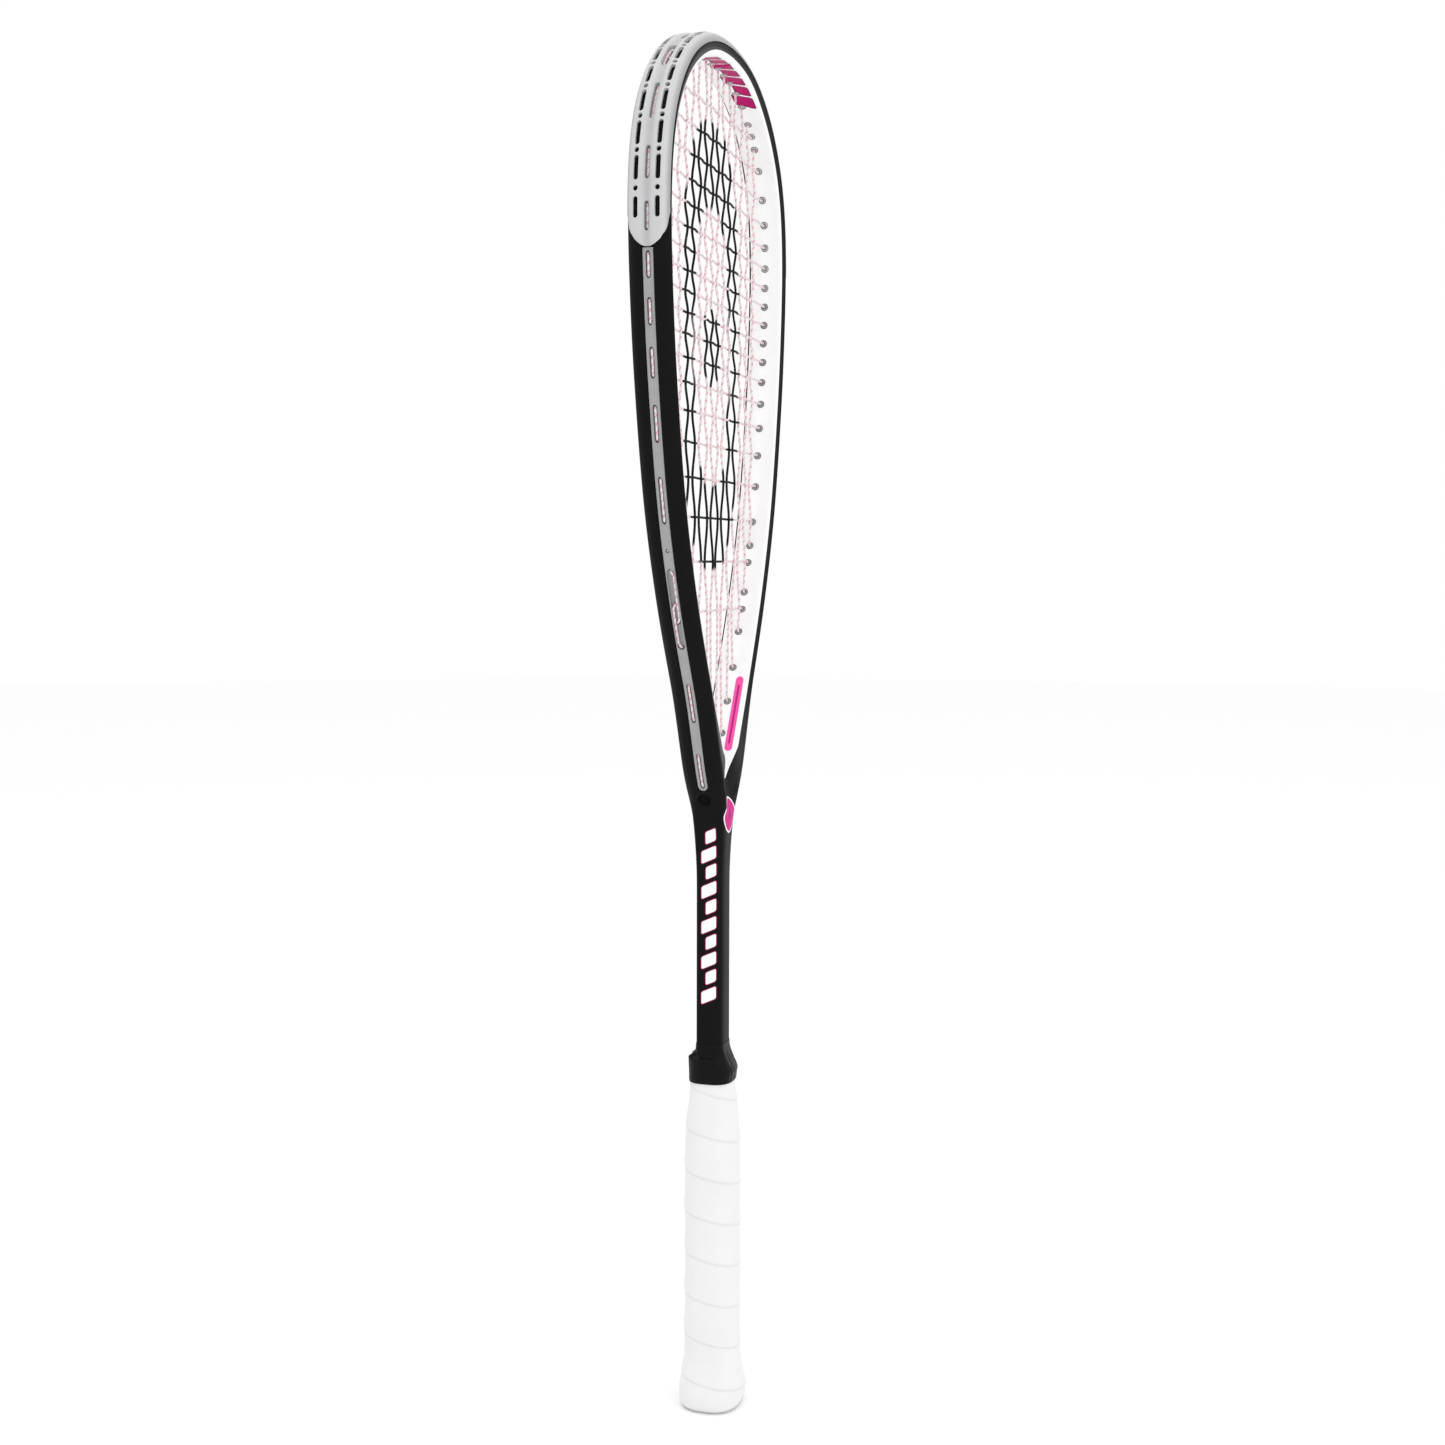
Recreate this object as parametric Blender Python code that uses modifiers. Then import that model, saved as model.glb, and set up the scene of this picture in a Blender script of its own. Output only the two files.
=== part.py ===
"""A strung squash racket with a teardrop head, standing on its butt with the head up.

Metres, +Z from the butt to the head, Y through the thickness. The origin is the centre of
the butt's flat bottom. The sizes below are in millimetres and are scaled by MM where used.
"""
import math

import bmesh
import bpy
import numpy as np
from mathutils import Matrix, Vector

MM = 0.001
COLLECTION = "squash_racket"

# ---------------------------------------------------------------- driving dimensions (mm)
# Inner edge of the hoop, right half: (x, z) from the crotch up to the middle of the top.
INNER_EDGE = [
    (0, 324), (15, 346.5), (35, 378.5), (56.5, 418), (74, 461), (86.5, 511.5), (93.3, 555),
    (95.4, 592), (91.3, 620), (80, 641.5), (60, 659.5), (32, 671.2), (0, 674.8),
]
LENGTH = 686.0  # the longest that the rules of squash allow
BEAM_WIDTH = 9.4  # in the plane of the head, from the inner face to the outer one
CROTCH_WIDTH = 17.0  # where the two arms meet
CROTCH_BLEND = 65.0  # length of arm over which it narrows to the beam width
BEAM_HALF_DEPTH = 10.2
SHAFT_HALF_DEPTH = 7.2
SHAFT_HALF_WIDTH = 8.75
DEPTH_BLEND = (270.0, 340.0)  # heights between which the shaft's depth grows to the beam's
# Stations of the throat below the crotch: (z of the middle, half width, z of the outer edge).
THROAT = [(308, 10.6, 303), (294, 9.3, 292), (277, 8.8, 277), (257, 8.75, 257)]
SHAFT_BOTTOM = 12.0
SHAFT_WALL = 1.4
SHAFT_HOLLOW_TOP = 286.0

GROOVE_HALF = 2.8  # channel along the outer face that holds the grommet strips
GROOVE_DEPTH = 2.3
EDGE_DROP = 0.14  # how far the channel's edges lie below the beam's width

GAP = 0.3  # between pieces that touch
HOLE_RADIUS = 2.0  # in the beam
BARREL_RADIUS = 1.65  # of a grommet
BORE_RADIUS = 1.05  # through a grommet
HOLE_SIDES = 6
STRING_RADIUS = 0.6
STRIP_HALF = GROOVE_HALF - GAP
RIM = 0.45
FLOOR = 0.65

BUMPER_CLEAR = GAP + 0.05  # between the guard and the beam
# The bumper's thickness at the top of the head makes up the racket's length.
BUMPER_RISE = LENGTH - INNER_EDGE[-1][1] - BEAM_WIDTH + EDGE_DROP - BUMPER_CLEAR
BUMPER_RISE_END = 1.2
BUMPER_END = 585.0  # height at which its side wings end
BUMPER_TONGUE = 573.0  # height at which its middle ends
STRIP_TOP = 572.4
STRIP_START = 3.0  # length of arm from the crotch to the strip's lower end

MAINS = 7  # on each side of the middle
CROSSES = 19
MIDDLE_CROSS = 9
MIDDLE_CROSS_Z = 560.4
CROSS_PITCH = 9.8
WEAVE = 2 * STRING_RADIUS + GAP
LOOP_SIDE = 1.32  # the loops of the mains and of the crosses pass each other in the channel

# Handle: (z, half width, half depth)
GRIP_OUTSIDE = [
    (2.0, 17.3, 15.7), (4.5, 18.1, 16.5), (9, 18.2, 16.6), (16, 17.0, 15.5), (23, 15.8, 14.5),
    (31, 15.2, 13.9), (70, 15.1, 13.8), (132, 15.0, 13.7), (150, 14.1, 13.0), (164.5, 12.6, 11.5),
]
GRIP_THICKNESS = 1.7
PALLET_OUTSIDE = [(6.5, 12.6, 11.3), (128, 12.6, 11.3), (146, 11.9, 10.7), (162, 10.5, 9.4)]
CAP_TOP = 30.0
CAP_BOTTOM = [(0, 14.0, 12.6), (0.9, 15.1, 13.5), (2.2, 15.15, 13.55)]
TAPE_OUTSIDE = [
    (165.2, 12.4, 11.2), (170, 12.4, 11.2), (174.5, 12.5, 11.3), (178, 11.9, 10.6), (183, 9.9, 8.4),
]
PLUG_HEIGHT = 10.0
STAPLE_WIDTH = 9.0
STAPLE_DEPTH = 3.6
STAPLE_WIRE = 0.5
STAPLE_SINK = 1.1  # the crown lies this far under the cap's surface
STAPLE_Z = 21.0
ROUND_POWER = 2.5  # of the superellipse that is the handle's section
SHAFT_POWER = 5.0
OVAL_SIDES = 24


# ---------------------------------------------------------------- scene and helpers
def clear_scene():
    for obj in list(bpy.data.objects):
        bpy.data.objects.remove(obj, do_unlink=True)


def collection(name):
    group = bpy.data.collections.get(name) or bpy.data.collections.new(name)
    if name not in bpy.context.scene.collection.children:
        bpy.context.scene.collection.children.link(group)
    return group


def material(name, colour, roughness, metallic=0.0):
    mat = bpy.data.materials.new(name)
    mat.use_nodes = True
    shader = mat.node_tree.nodes["Principled BSDF"]
    shader.inputs["Base Color"].default_value = (*colour, 1.0)
    shader.inputs["Roughness"].default_value = roughness
    shader.inputs["Metallic"].default_value = metallic
    return mat


def add_object(name, mesh, mat=None):
    """A part when it has a material, otherwise a cutter."""
    obj = bpy.data.objects.new(name, mesh)
    if mat is None:
        collection("cutters").objects.link(obj)
        obj.hide_render = True
        obj.display_type = "WIRE"
        return obj
    mesh.materials.append(mat)
    collection(COLLECTION).objects.link(obj)
    return obj


def smooth(obj, degrees=35):
    obj.data.shade_smooth()
    obj.data.set_sharp_from_angle(angle=math.radians(degrees))


def boolean(obj, cutter, operation):
    modifier = obj.modifiers.new(f"{operation.lower()}_{cutter.name}", "BOOLEAN")
    modifier.operation = operation
    modifier.object = cutter


def loft(name, rings, mat=None, skip_plane=False):
    """A skin over rings of equally many points (mm), with both ends closed.

    With skip_plane the rings are one half of a body that a Mirror completes, so the last
    ring and every face in the plane x = 0 stay open.
    """
    bm = bmesh.new()
    skins = [[bm.verts.new(Vector(point) * MM) for point in ring] for ring in rings]
    count = len(rings[0])
    for low, high in zip(skins, skins[1:]):
        for i in range(count):
            j = (i + 1) % count
            corners = (low[i], low[j], high[j], high[i])
            if skip_plane and all(abs(v.co.x) < 1e-9 for v in corners):
                continue
            bm.faces.new(corners)
    bm.faces.new(reversed(skins[0]))
    if not skip_plane:
        bm.faces.new(skins[-1])
    bmesh.ops.remove_doubles(bm, verts=bm.verts[:], dist=1e-7)
    bmesh.ops.recalc_face_normals(bm, faces=bm.faces[:])
    mesh = bpy.data.meshes.new(name)
    bm.to_mesh(mesh)
    bm.free()
    return add_object(name, mesh, mat)


def box(name, low, high):
    """A cutter between two corners (mm)."""
    bm = bmesh.new()
    size = (Vector(high) - Vector(low)) * MM
    middle = (Vector(high) + Vector(low)) * MM / 2
    bmesh.ops.create_cube(bm, size=1.0, matrix=Matrix.Translation(middle) @ Matrix.Diagonal((*size, 1)))
    mesh = bpy.data.meshes.new(name)
    bm.to_mesh(mesh)
    bm.free()
    return add_object(name, mesh)


def rods(name, ends, radius):
    """One cutter of many straight rods, each between two points (mm)."""
    bm = bmesh.new()
    for start, stop in ends:
        start, stop = Vector(start) * MM, Vector(stop) * MM
        along = stop - start
        turn = along.to_track_quat("Z", "Y").to_matrix().to_4x4()
        place = Matrix.Translation((start + stop) / 2) @ turn
        bmesh.ops.create_cone(
            bm, cap_ends=True, segments=HOLE_SIDES, radius1=radius * MM, radius2=radius * MM,
            depth=along.length, matrix=place,
        )
    mesh = bpy.data.meshes.new(name)
    bm.to_mesh(mesh)
    bm.free()
    return add_object(name, mesh)


def wire(name, points, radius, mat):
    """A round wire through points (mm), as a mesh with closed ends."""
    curve = bpy.data.curves.new(name, "CURVE")
    curve.dimensions = "3D"
    curve.bevel_depth = radius * MM
    curve.bevel_resolution = 1
    curve.use_fill_caps = True
    spline = curve.splines.new("POLY")
    spline.points.add(len(points) - 1)
    for knot, point in zip(spline.points, points):
        knot.co = (*(Vector(point) * MM), 1.0)
    guide = bpy.data.objects.new(f"{name}_guide", curve)
    collection("cutters").objects.link(guide)
    evaluated = guide.evaluated_get(bpy.context.evaluated_depsgraph_get())
    mesh = bpy.data.meshes.new_from_object(evaluated)
    mesh.name = name
    bm = bmesh.new()
    bm.from_mesh(mesh)
    bmesh.ops.remove_doubles(bm, verts=bm.verts[:], dist=1e-6)
    bmesh.ops.recalc_face_normals(bm, faces=bm.faces[:])
    bm.to_mesh(mesh)
    bm.free()
    mesh.materials.clear()
    obj = add_object(name, mesh, mat)
    obj.matrix_world = guide.matrix_world
    bpy.data.objects.remove(guide, do_unlink=True)
    return obj


def smoothstep(value, low, high):
    t = min(max((value - low) / (high - low), 0.0), 1.0)
    return t * t * (3 - 2 * t)


def oval(z, half_width, half_depth, power):
    """A superellipse at height z."""
    points = []
    for i in range(OVAL_SIDES):
        angle = math.tau * (i + 0.5) / OVAL_SIDES
        c, s = math.cos(angle), math.sin(angle)
        x = half_width * math.copysign(abs(c) ** (2 / power), c)
        y = half_depth * math.copysign(abs(s) ** (2 / power), s)
        points.append((x, y, z))
    return points


def ovals(stations, power=ROUND_POWER, shrink=0.0):
    return [oval(z, a - shrink, b - shrink, power) for z, a, b in stations]


# ---------------------------------------------------------------- outline of the head
def edge_curve(steps=24):
    """A smooth curve through INNER_EDGE, sampled densely."""
    knots = np.array(INNER_EDGE, float)
    before = 2 * knots[0] - knots[1]
    after = knots[-2] * (-1, 1)
    knots = np.vstack([before, knots, after])
    samples = []
    for p0, p1, p2, p3 in zip(knots, knots[1:], knots[2:], knots[3:]):
        for t in np.arange(steps) / steps:
            samples.append(
                0.5 * (2 * p1 + (p2 - p0) * t + (2 * p0 - 5 * p1 + 4 * p2 - p3) * t**2
                       + (3 * p1 - p0 - 3 * p2 + p3) * t**3)
            )
    samples.append(knots[-2])
    return np.array(samples)


EDGE = edge_curve()
EDGE_AT = np.concatenate([[0], np.cumsum(np.linalg.norm(np.diff(EDGE, axis=0), axis=1))])
ARM = EDGE_AT[-1]  # length of one arm along its inner edge


def edge_point(length):
    return np.array([np.interp(length, EDGE_AT, EDGE[:, k]) for k in range(2)])


def edge_normal(length):
    """Points out of the head, in the plane of the head."""
    if length > ARM - 0.01:
        return np.array([0.0, 1.0])
    step = 0.4
    along = edge_point(min(length + step, ARM)) - edge_point(max(length - step, 0))
    along /= np.linalg.norm(along)
    return np.array([along[1], -along[0]])


def beam_width(length):
    return CROTCH_WIDTH + (BEAM_WIDTH - CROTCH_WIDTH) * smoothstep(length, 0, CROTCH_BLEND)


def half_depth(z):
    grow = smoothstep(z, *DEPTH_BLEND)
    return SHAFT_HALF_DEPTH + (BEAM_HALF_DEPTH - SHAFT_HALF_DEPTH) * grow


def hoop_point(station, out, y):
    """A point of the hoop. station runs from -ARM at the left of the crotch over 0 at the
    top to ARM at its right, and out is the distance outwards from the inner face."""
    length = ARM - abs(station)
    x, z = edge_point(length) + edge_normal(length) * out
    return (math.copysign(x, station) if station else 0.0, y, z)


def station_at_height(z):
    return ARM - np.interp(z, EDGE[:, 1], EDGE_AT)


def station_below(x):
    """Where the lower part of the arm is x away from the middle."""
    widest = int(np.argmax(EDGE[:, 0]))
    return ARM - np.interp(x, EDGE[:widest, 0], EDGE_AT[:widest])


def station_above(x):
    """Where the upper part of the arm is x away from the middle."""
    widest = int(np.argmax(EDGE[:, 0]))
    return ARM - np.interp(-x, -EDGE[widest:, 0], EDGE_AT[widest:])


# ---------------------------------------------------------------- frame
def inner_share(length):
    """The beam tapers towards its inner edge, most of all in the crotch: the edge's share of its depth."""
    return float(0.62 + 0.25 * smoothstep(length, 0, 16))


def beam_section(width, depth, inner):
    """Front half of the hoop's section, inner side first: (out, y)."""
    return [
        (0, -(inner - 0.08) * depth), (0.35, -(inner - 0.03) * depth), (1.2, -inner * depth),
        (width - 3.95, -depth),
        (width - 2.44, -0.90 * depth), (width - 0.94, -0.68 * depth),
        (width - EDGE_DROP, -GROOVE_HALF), (width - EDGE_DROP - GROOVE_DEPTH, -GROOVE_HALF),
    ]


def shaft_section(width, depth):
    """Front half of the shaft's right half, with as many points as the beam's section."""
    return [
        (0, -depth), (0.25 * width, -depth), (0.5 * width, -depth), (0.72 * width, -depth),
        (0.88 * width, -0.94 * depth), (0.97 * width, -0.80 * depth),
        (width, -0.6 * depth), (width, -0.3 * depth),
    ]


def full_ring(front):
    return front + [(out, -y) for out, y in reversed(front)]


def make_frame(mat):
    rings = []
    for z in (SHAFT_BOTTOM, 165.0):
        section = full_ring(shaft_section(SHAFT_HALF_WIDTH, half_depth(z)))
        rings.append([(out, y, z) for out, y in section])
    for z, half_width, outer_z in reversed(THROAT):
        section = full_ring(shaft_section(half_width, half_depth(z)))
        lean = (outer_z - z) / half_width
        rings.append([(out, y, z + lean * out) for out, y in section])
    crotch = [0, 5, 11, 18, 27, 38, 50]
    stations = crotch + list(np.linspace(65, ARM, 26))
    for length in stations:
        depth = half_depth(edge_point(length)[1])
        section = full_ring(beam_section(beam_width(length), depth, inner_share(length)))
        rings.append([hoop_point(ARM - length, out, y) for out, y in section])
    frame = loft("frame", rings, mat, skip_plane=True)
    mirror = frame.modifiers.new("mirror", "MIRROR")
    mirror.use_axis[0] = True
    mirror.merge_threshold = 0.00005
    smooth(frame)

    wall = 2 * SHAFT_WALL
    hollow = loft("shaft_hollow", [
        oval(z, SHAFT_HALF_WIDTH - SHAFT_WALL, SHAFT_HALF_DEPTH - SHAFT_WALL, SHAFT_POWER)
        for z in (SHAFT_BOTTOM - wall, SHAFT_HOLLOW_TOP)
    ])
    boolean(frame, hollow, "DIFFERENCE")
    holes = rods("string_holes", [
        (hoop_point(s, -3, 0), hoop_point(s, beam_width(ARM - abs(s)) - 1.2, 0)) for s in ALL_HOLES
    ], HOLE_RADIUS)
    boolean(frame, holes, "DIFFERENCE")
    return frame


# ---------------------------------------------------------------- string pattern
def cross_height(k):
    """Height of cross k, from 1 at the top. The crosses are closest in the middle."""
    steps = k - MIDDLE_CROSS
    spread = 0.054 if steps > 0 else 0.031
    return MIDDLE_CROSS_Z - CROSS_PITCH * steps - spread * steps**3


def main_ends(i):
    """x of main i at its lower and upper end, from 0 at the middle. The mains fan out."""
    return 4.9 + 9.75 * i + 0.1 * i**2, 5.2 + 10.3 * i + 0.028 * i**3


CROSS_STATIONS = [station_at_height(cross_height(k)) for k in range(1, CROSSES + 1)]
MAIN_LOW = [station_below(main_ends(i)[0]) for i in range(MAINS)]
MAIN_HIGH = [station_above(main_ends(i)[1]) for i in range(MAINS)]
HALF_HOLES = CROSS_STATIONS + MAIN_LOW + MAIN_HIGH
ALL_HOLES = [side * s for s in HALF_HOLES for side in (-1, 1)]
MOUTH = -1.5  # the strings turn this far inside the inner face


def loop_out(station):
    """How far out the strings lie in the channel."""
    return beam_width(ARM - abs(station)) - EDGE_DROP - GROOVE_DEPTH + GAP + FLOOR + 0.15 + STRING_RADIUS


def loop(start, stop, side):
    """The string's way along the channel between two holes, without the holes' own points."""
    ramp = 2.6 * math.copysign(1, stop - start)
    first, last = start + ramp, stop - ramp
    count = max(2, math.ceil(abs(last - first) / 9) + 1)
    return [hoop_point(s, loop_out(s), side * LOOP_SIDE) for s in np.linspace(first, last, count)]


def hole_ends(station):
    """The string's two points in a hole: in the channel, and inside the head."""
    return hoop_point(station, loop_out(station), 0), hoop_point(station, MOUTH, 0)


def main_x(i, side, z):
    """x of a main at height z, between its two mouths."""
    low = hoop_point(side * MAIN_LOW[i], MOUTH, 0)
    high = hoop_point(side * MAIN_HIGH[i], MOUTH, 0)
    return low[0] + (high[0] - low[0]) * (z - low[2]) / (high[2] - low[2]), low[2], high[2]


def main_route():
    """One string through all mains, from the left to the right."""
    order = [(i, -1) for i in reversed(range(MAINS))] + [(i, 1) for i in range(MAINS)]
    route = []
    last = None
    for number, (i, side) in enumerate(order):
        ends = [side * MAIN_LOW[i], side * MAIN_HIGH[i]]
        if number % 2:
            ends.reverse()
        if last is not None:
            route += loop(last, ends[0], 1)
        outside, inside = hole_ends(ends[0])
        route += [outside, inside]
        outside, inside = hole_ends(ends[1])
        route += [inside, outside]
        last = ends[1]
    return route


def cross_route():
    """One string through all crosses, from the top left, over and under the mains."""
    route = []
    last = None
    for k, station in enumerate(CROSS_STATIONS, start=1):
        sides = (-1, 1) if k % 2 else (1, -1)
        start, stop = sides[0] * station, sides[1] * station
        if last is not None:
            route += loop(last, start, -1)
        outside, inside = hole_ends(start)
        route += [outside, inside]
        z = inside[2]
        crossed = []
        for i in range(MAINS):
            for side in (-1, 1):
                x, low, high = main_x(i, side, z)
                if low + 1 < z < high - 1:
                    column = i if side > 0 else -1 - i
                    crossed.append((x, WEAVE if (k + column) % 2 else -WEAVE, z))
        crossed.sort(reverse=sides[0] > 0)
        route += crossed
        outside, inside = hole_ends(stop)
        route += [inside, outside]
        last = stop
    return route


# ---------------------------------------------------------------- grommet strips and bumper
def grommets(piece, name, stations):
    """Adds hollow barrels to a strip and drills them."""
    barrels = rods(f"{name}_barrels", [
        (hoop_point(s, -0.6, 0), hoop_point(s, beam_width(ARM - abs(s)) - 1.8, 0)) for s in stations
    ], BARREL_RADIUS)
    bores = rods(f"{name}_bores", [
        (hoop_point(s, -1.5, 0), hoop_point(s, beam_width(ARM - abs(s)) - 1.0, 0)) for s in stations
    ], BORE_RADIUS)
    boolean(piece, barrels, "UNION")
    boolean(piece, bores, "DIFFERENCE")
    smooth(piece)


def strip_ring(station):
    width = beam_width(ARM - abs(station))
    floor = width - EDGE_DROP - GROOVE_DEPTH + GAP
    front = [
        (floor, -STRIP_HALF), (width - EDGE_DROP, -STRIP_HALF),
        (width - EDGE_DROP, RIM - STRIP_HALF), (floor + FLOOR, RIM - STRIP_HALF),
    ]
    return [hoop_point(station, out, y) for out, y in full_ring(front)]


def make_strip(name, side, mat):
    top = station_at_height(STRIP_TOP)
    stations = np.concatenate([[ARM - STRIP_START], ARM - np.array([12, 24, 38, 52]),
                               np.linspace(ARM - 68, top, 13)])
    strip = loft(name, [strip_ring(side * s) for s in stations], mat)
    inside = [s for s in HALF_HOLES if s > top]
    grommets(strip, name, [side * s for s in inside])
    return strip


def outer_face(y, width, depth):
    """How far out the hoop's outer face is at y from the middle."""
    return np.interp(
        y, [GROOVE_HALF, 0.68 * depth, 0.90 * depth, depth],
        [width - EDGE_DROP, width - 0.94, width - 2.44, width - 3.95],
    )


def bumper_ring(station, wing, rise):
    """wing goes from 1, where the guard wraps the beam, to 0 at its narrow tongue."""
    width = beam_width(ARM - abs(station))
    depth = BEAM_HALF_DEPTH
    clear = BUMPER_CLEAR + 0.3 * (wing < 1)
    floor = width - EDGE_DROP - GROOVE_DEPTH + GAP

    def along(share):
        return STRIP_HALF + 0.4 + (share * depth - STRIP_HALF - 0.4) * wing

    def skin(share, more=0.0):
        return outer_face(along(share), width, depth) + clear + more

    front = [
        (floor, -STRIP_HALF), (width - EDGE_DROP + clear, -STRIP_HALF), (skin(0.68), -along(0.68)),
        (skin(0.90), -along(0.90)), (skin(0.955), -along(0.955)),
        (skin(0.955), -along(1.02) - 0.1), (skin(0.90, 0.5), -along(0.98)),
        (skin(0.68, rise * 0.9), -along(0.76)), (skin(0.3, rise), -along(0.38) + 0.2 * (1 - wing)),
        (width - EDGE_DROP + clear + rise, RIM - STRIP_HALF), (floor + FLOOR, RIM - STRIP_HALF),
    ]
    return [hoop_point(station, out, y) for out, y in full_ring(front)]


def make_bumper(mat):
    end = station_at_height(BUMPER_END)
    tongue = station_at_height(BUMPER_TONGUE)
    half = [(tongue, 0.04), (tongue - 2.5, 0.10), (tongue - 5, 0.28), (tongue - 8, 0.68), (end, 1.0)]
    half += [(s, 1.0) for s in np.linspace(end - 10, 10, 12)]
    rings = []
    for side in (-1, 1):
        ordered = half if side < 0 else list(reversed(half))
        for station, wing in ordered:
            top = smoothstep(end - station, 0, end * 0.8)
            rise = BUMPER_RISE_END + (BUMPER_RISE - BUMPER_RISE_END) * top
            rings.append(bumper_ring(side * station, wing, rise * (0.25 + 0.75 * wing)))
        if side < 0:
            rings.append(bumper_ring(0, 1.0, BUMPER_RISE))
    bumper = loft("bumper_guard", rings, mat)
    grommets(bumper, "bumper_guard", [side * s for s in HALF_HOLES if s < tongue for side in (-1, 1)])
    return bumper


# ---------------------------------------------------------------- handle
def shaft_cutter(name, low, high):
    return loft(name, [
        oval(z, SHAFT_HALF_WIDTH + GAP, SHAFT_HALF_DEPTH + GAP, 6.0) for z in (low, high)
    ])


def staple_points(side):
    """A staple's wire, from one tip over its crown to the other."""
    crown = side * (CAP_SIDE - STAPLE_SINK)
    tip = crown - side * STAPLE_DEPTH
    half = STAPLE_WIDTH / 2
    return [(-half, tip, STAPLE_Z), (-half, crown, STAPLE_Z), (half, crown, STAPLE_Z), (half, tip, STAPLE_Z)]


def cap_stations():
    """The butt cap lies inside the grip, so it follows the grip's flare."""
    inside = GRIP_THICKNESS + GAP
    rows = [(z, a - inside, b - inside) for z, a, b in GRIP_OUTSIDE if 4 < z < CAP_TOP]
    outside = np.array(GRIP_OUTSIDE).T
    top = [np.interp(CAP_TOP, outside[0], half) - inside for half in outside[1:]]
    return CAP_BOTTOM + rows + [(CAP_TOP, *top)]


CAP_SIDE = float(np.interp(STAPLE_Z, *np.array(GRIP_OUTSIDE)[:, (0, 2)].T)) - GRIP_THICKNESS - GAP


def staple_slot(side):
    """A cutter for the space round one staple, open to the outside of the cap."""
    deep = CAP_SIDE - STAPLE_SINK - STAPLE_DEPTH - 0.8
    low, high = sorted((side * deep, side * (CAP_SIDE + 3)))
    half = STAPLE_WIDTH / 2 + 0.9
    return box(f"staple_slot_{side}", (-half, low, STAPLE_Z - 0.9), (half, high, STAPLE_Z + 0.9))


def make_handle(mats):
    slots = {side: staple_slot(side) for side in (-1, 1)}
    for name, side in (("handle_pallet_front", -1), ("handle_pallet_rear", 1)):
        pallet = loft(name, ovals(PALLET_OUTSIDE), mats["foam"])
        boolean(pallet, shaft_cutter(f"{name}_channel", 0, 200), "DIFFERENCE")
        low, high = sorted((-side * 30, side * GAP / 2))
        boolean(pallet, box(f"{name}_half", (-30, low, -10), (30, high, 200)), "DIFFERENCE")
        boolean(pallet, slots[side], "DIFFERENCE")
        smooth(pallet)

    cap = loft("butt_cap", ovals(cap_stations()), mats["cap"])
    grown = [(z, a + GAP, b + GAP) for z, a, b in PALLET_OUTSIDE[:2]]
    socket = loft("butt_cap_socket", ovals([(PALLET_OUTSIDE[0][0] - GAP, *grown[0][1:]), grown[1]]))
    boolean(cap, socket, "DIFFERENCE")
    for slot in slots.values():
        boolean(cap, slot, "DIFFERENCE")
    smooth(cap)

    for name, side in (("butt_cap_staple_front", -1), ("butt_cap_staple_rear", 1)):
        wire(name, staple_points(side), STAPLE_WIRE, mats["steel"])

    grip = loft("grip_tape", ovals(GRIP_OUTSIDE), mats["grip"])
    inner = ovals(GRIP_OUTSIDE[1:], shrink=GRIP_THICKNESS)
    inner = ovals([(-2, 15.5, 13.9)]) + inner + ovals([(170, 10.9, 9.8)])
    boolean(grip, loft("grip_tape_inside", inner), "DIFFERENCE")
    smooth(grip)

    tape = loft("finishing_tape", ovals(TAPE_OUTSIDE, power=2.8), mats["tape"])
    boolean(tape, shaft_cutter("finishing_tape_inside", 100, 250), "DIFFERENCE")
    smooth(tape)

    clear = SHAFT_WALL + GAP
    plug = loft("shaft_end_plug", [
        oval(z, SHAFT_HALF_WIDTH - clear, SHAFT_HALF_DEPTH - clear, SHAFT_POWER)
        for z in (SHAFT_BOTTOM, SHAFT_BOTTOM + PLUG_HEIGHT)
    ], mats["rubber"])
    smooth(plug)


# ---------------------------------------------------------------- build
def main():
    clear_scene()
    mats = {
        "graphite": material("satin_black_graphite", (0.012, 0.012, 0.013), 0.38),
        "nylon": material("translucent_nylon", (0.66, 0.68, 0.69), 0.42),
        "strip": material("grey_nylon", (0.36, 0.36, 0.36), 0.45),
        "string": material("white_multifilament", (0.88, 0.84, 0.83), 0.4),
        "foam": material("handle_foam", (0.55, 0.5, 0.4), 0.85),
        "cap": material("white_cap_plastic", (0.85, 0.85, 0.85), 0.5),
        "steel": material("staple_steel", (0.6, 0.6, 0.6), 0.35, 1.0),
        "grip": material("white_grip", (0.88, 0.88, 0.88), 0.6),
        "tape": material("black_finishing_tape", (0.01, 0.01, 0.01), 0.45),
        "rubber": material("plug_rubber", (0.05, 0.05, 0.05), 0.8),
    }
    make_frame(mats["graphite"])
    make_bumper(mats["nylon"])
    make_strip("grommet_strip_left", -1, mats["strip"])
    make_strip("grommet_strip_right", 1, mats["strip"])
    wire("main_string", main_route(), STRING_RADIUS, mats["string"])
    wire("cross_string", cross_route(), STRING_RADIUS, mats["string"])
    make_handle(mats)


main()
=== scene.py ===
"""Looks of a strung squash racket with a teardrop head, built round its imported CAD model.

Lengths below are in millimetres and are scaled by MM where a mesh is made. The racket stands
on its butt, with +Z towards the head and -Y the face that the camera sees.
"""
import math

import bmesh
import bpy
import numpy as np
from mathutils import Matrix, Vector, noise


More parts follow.
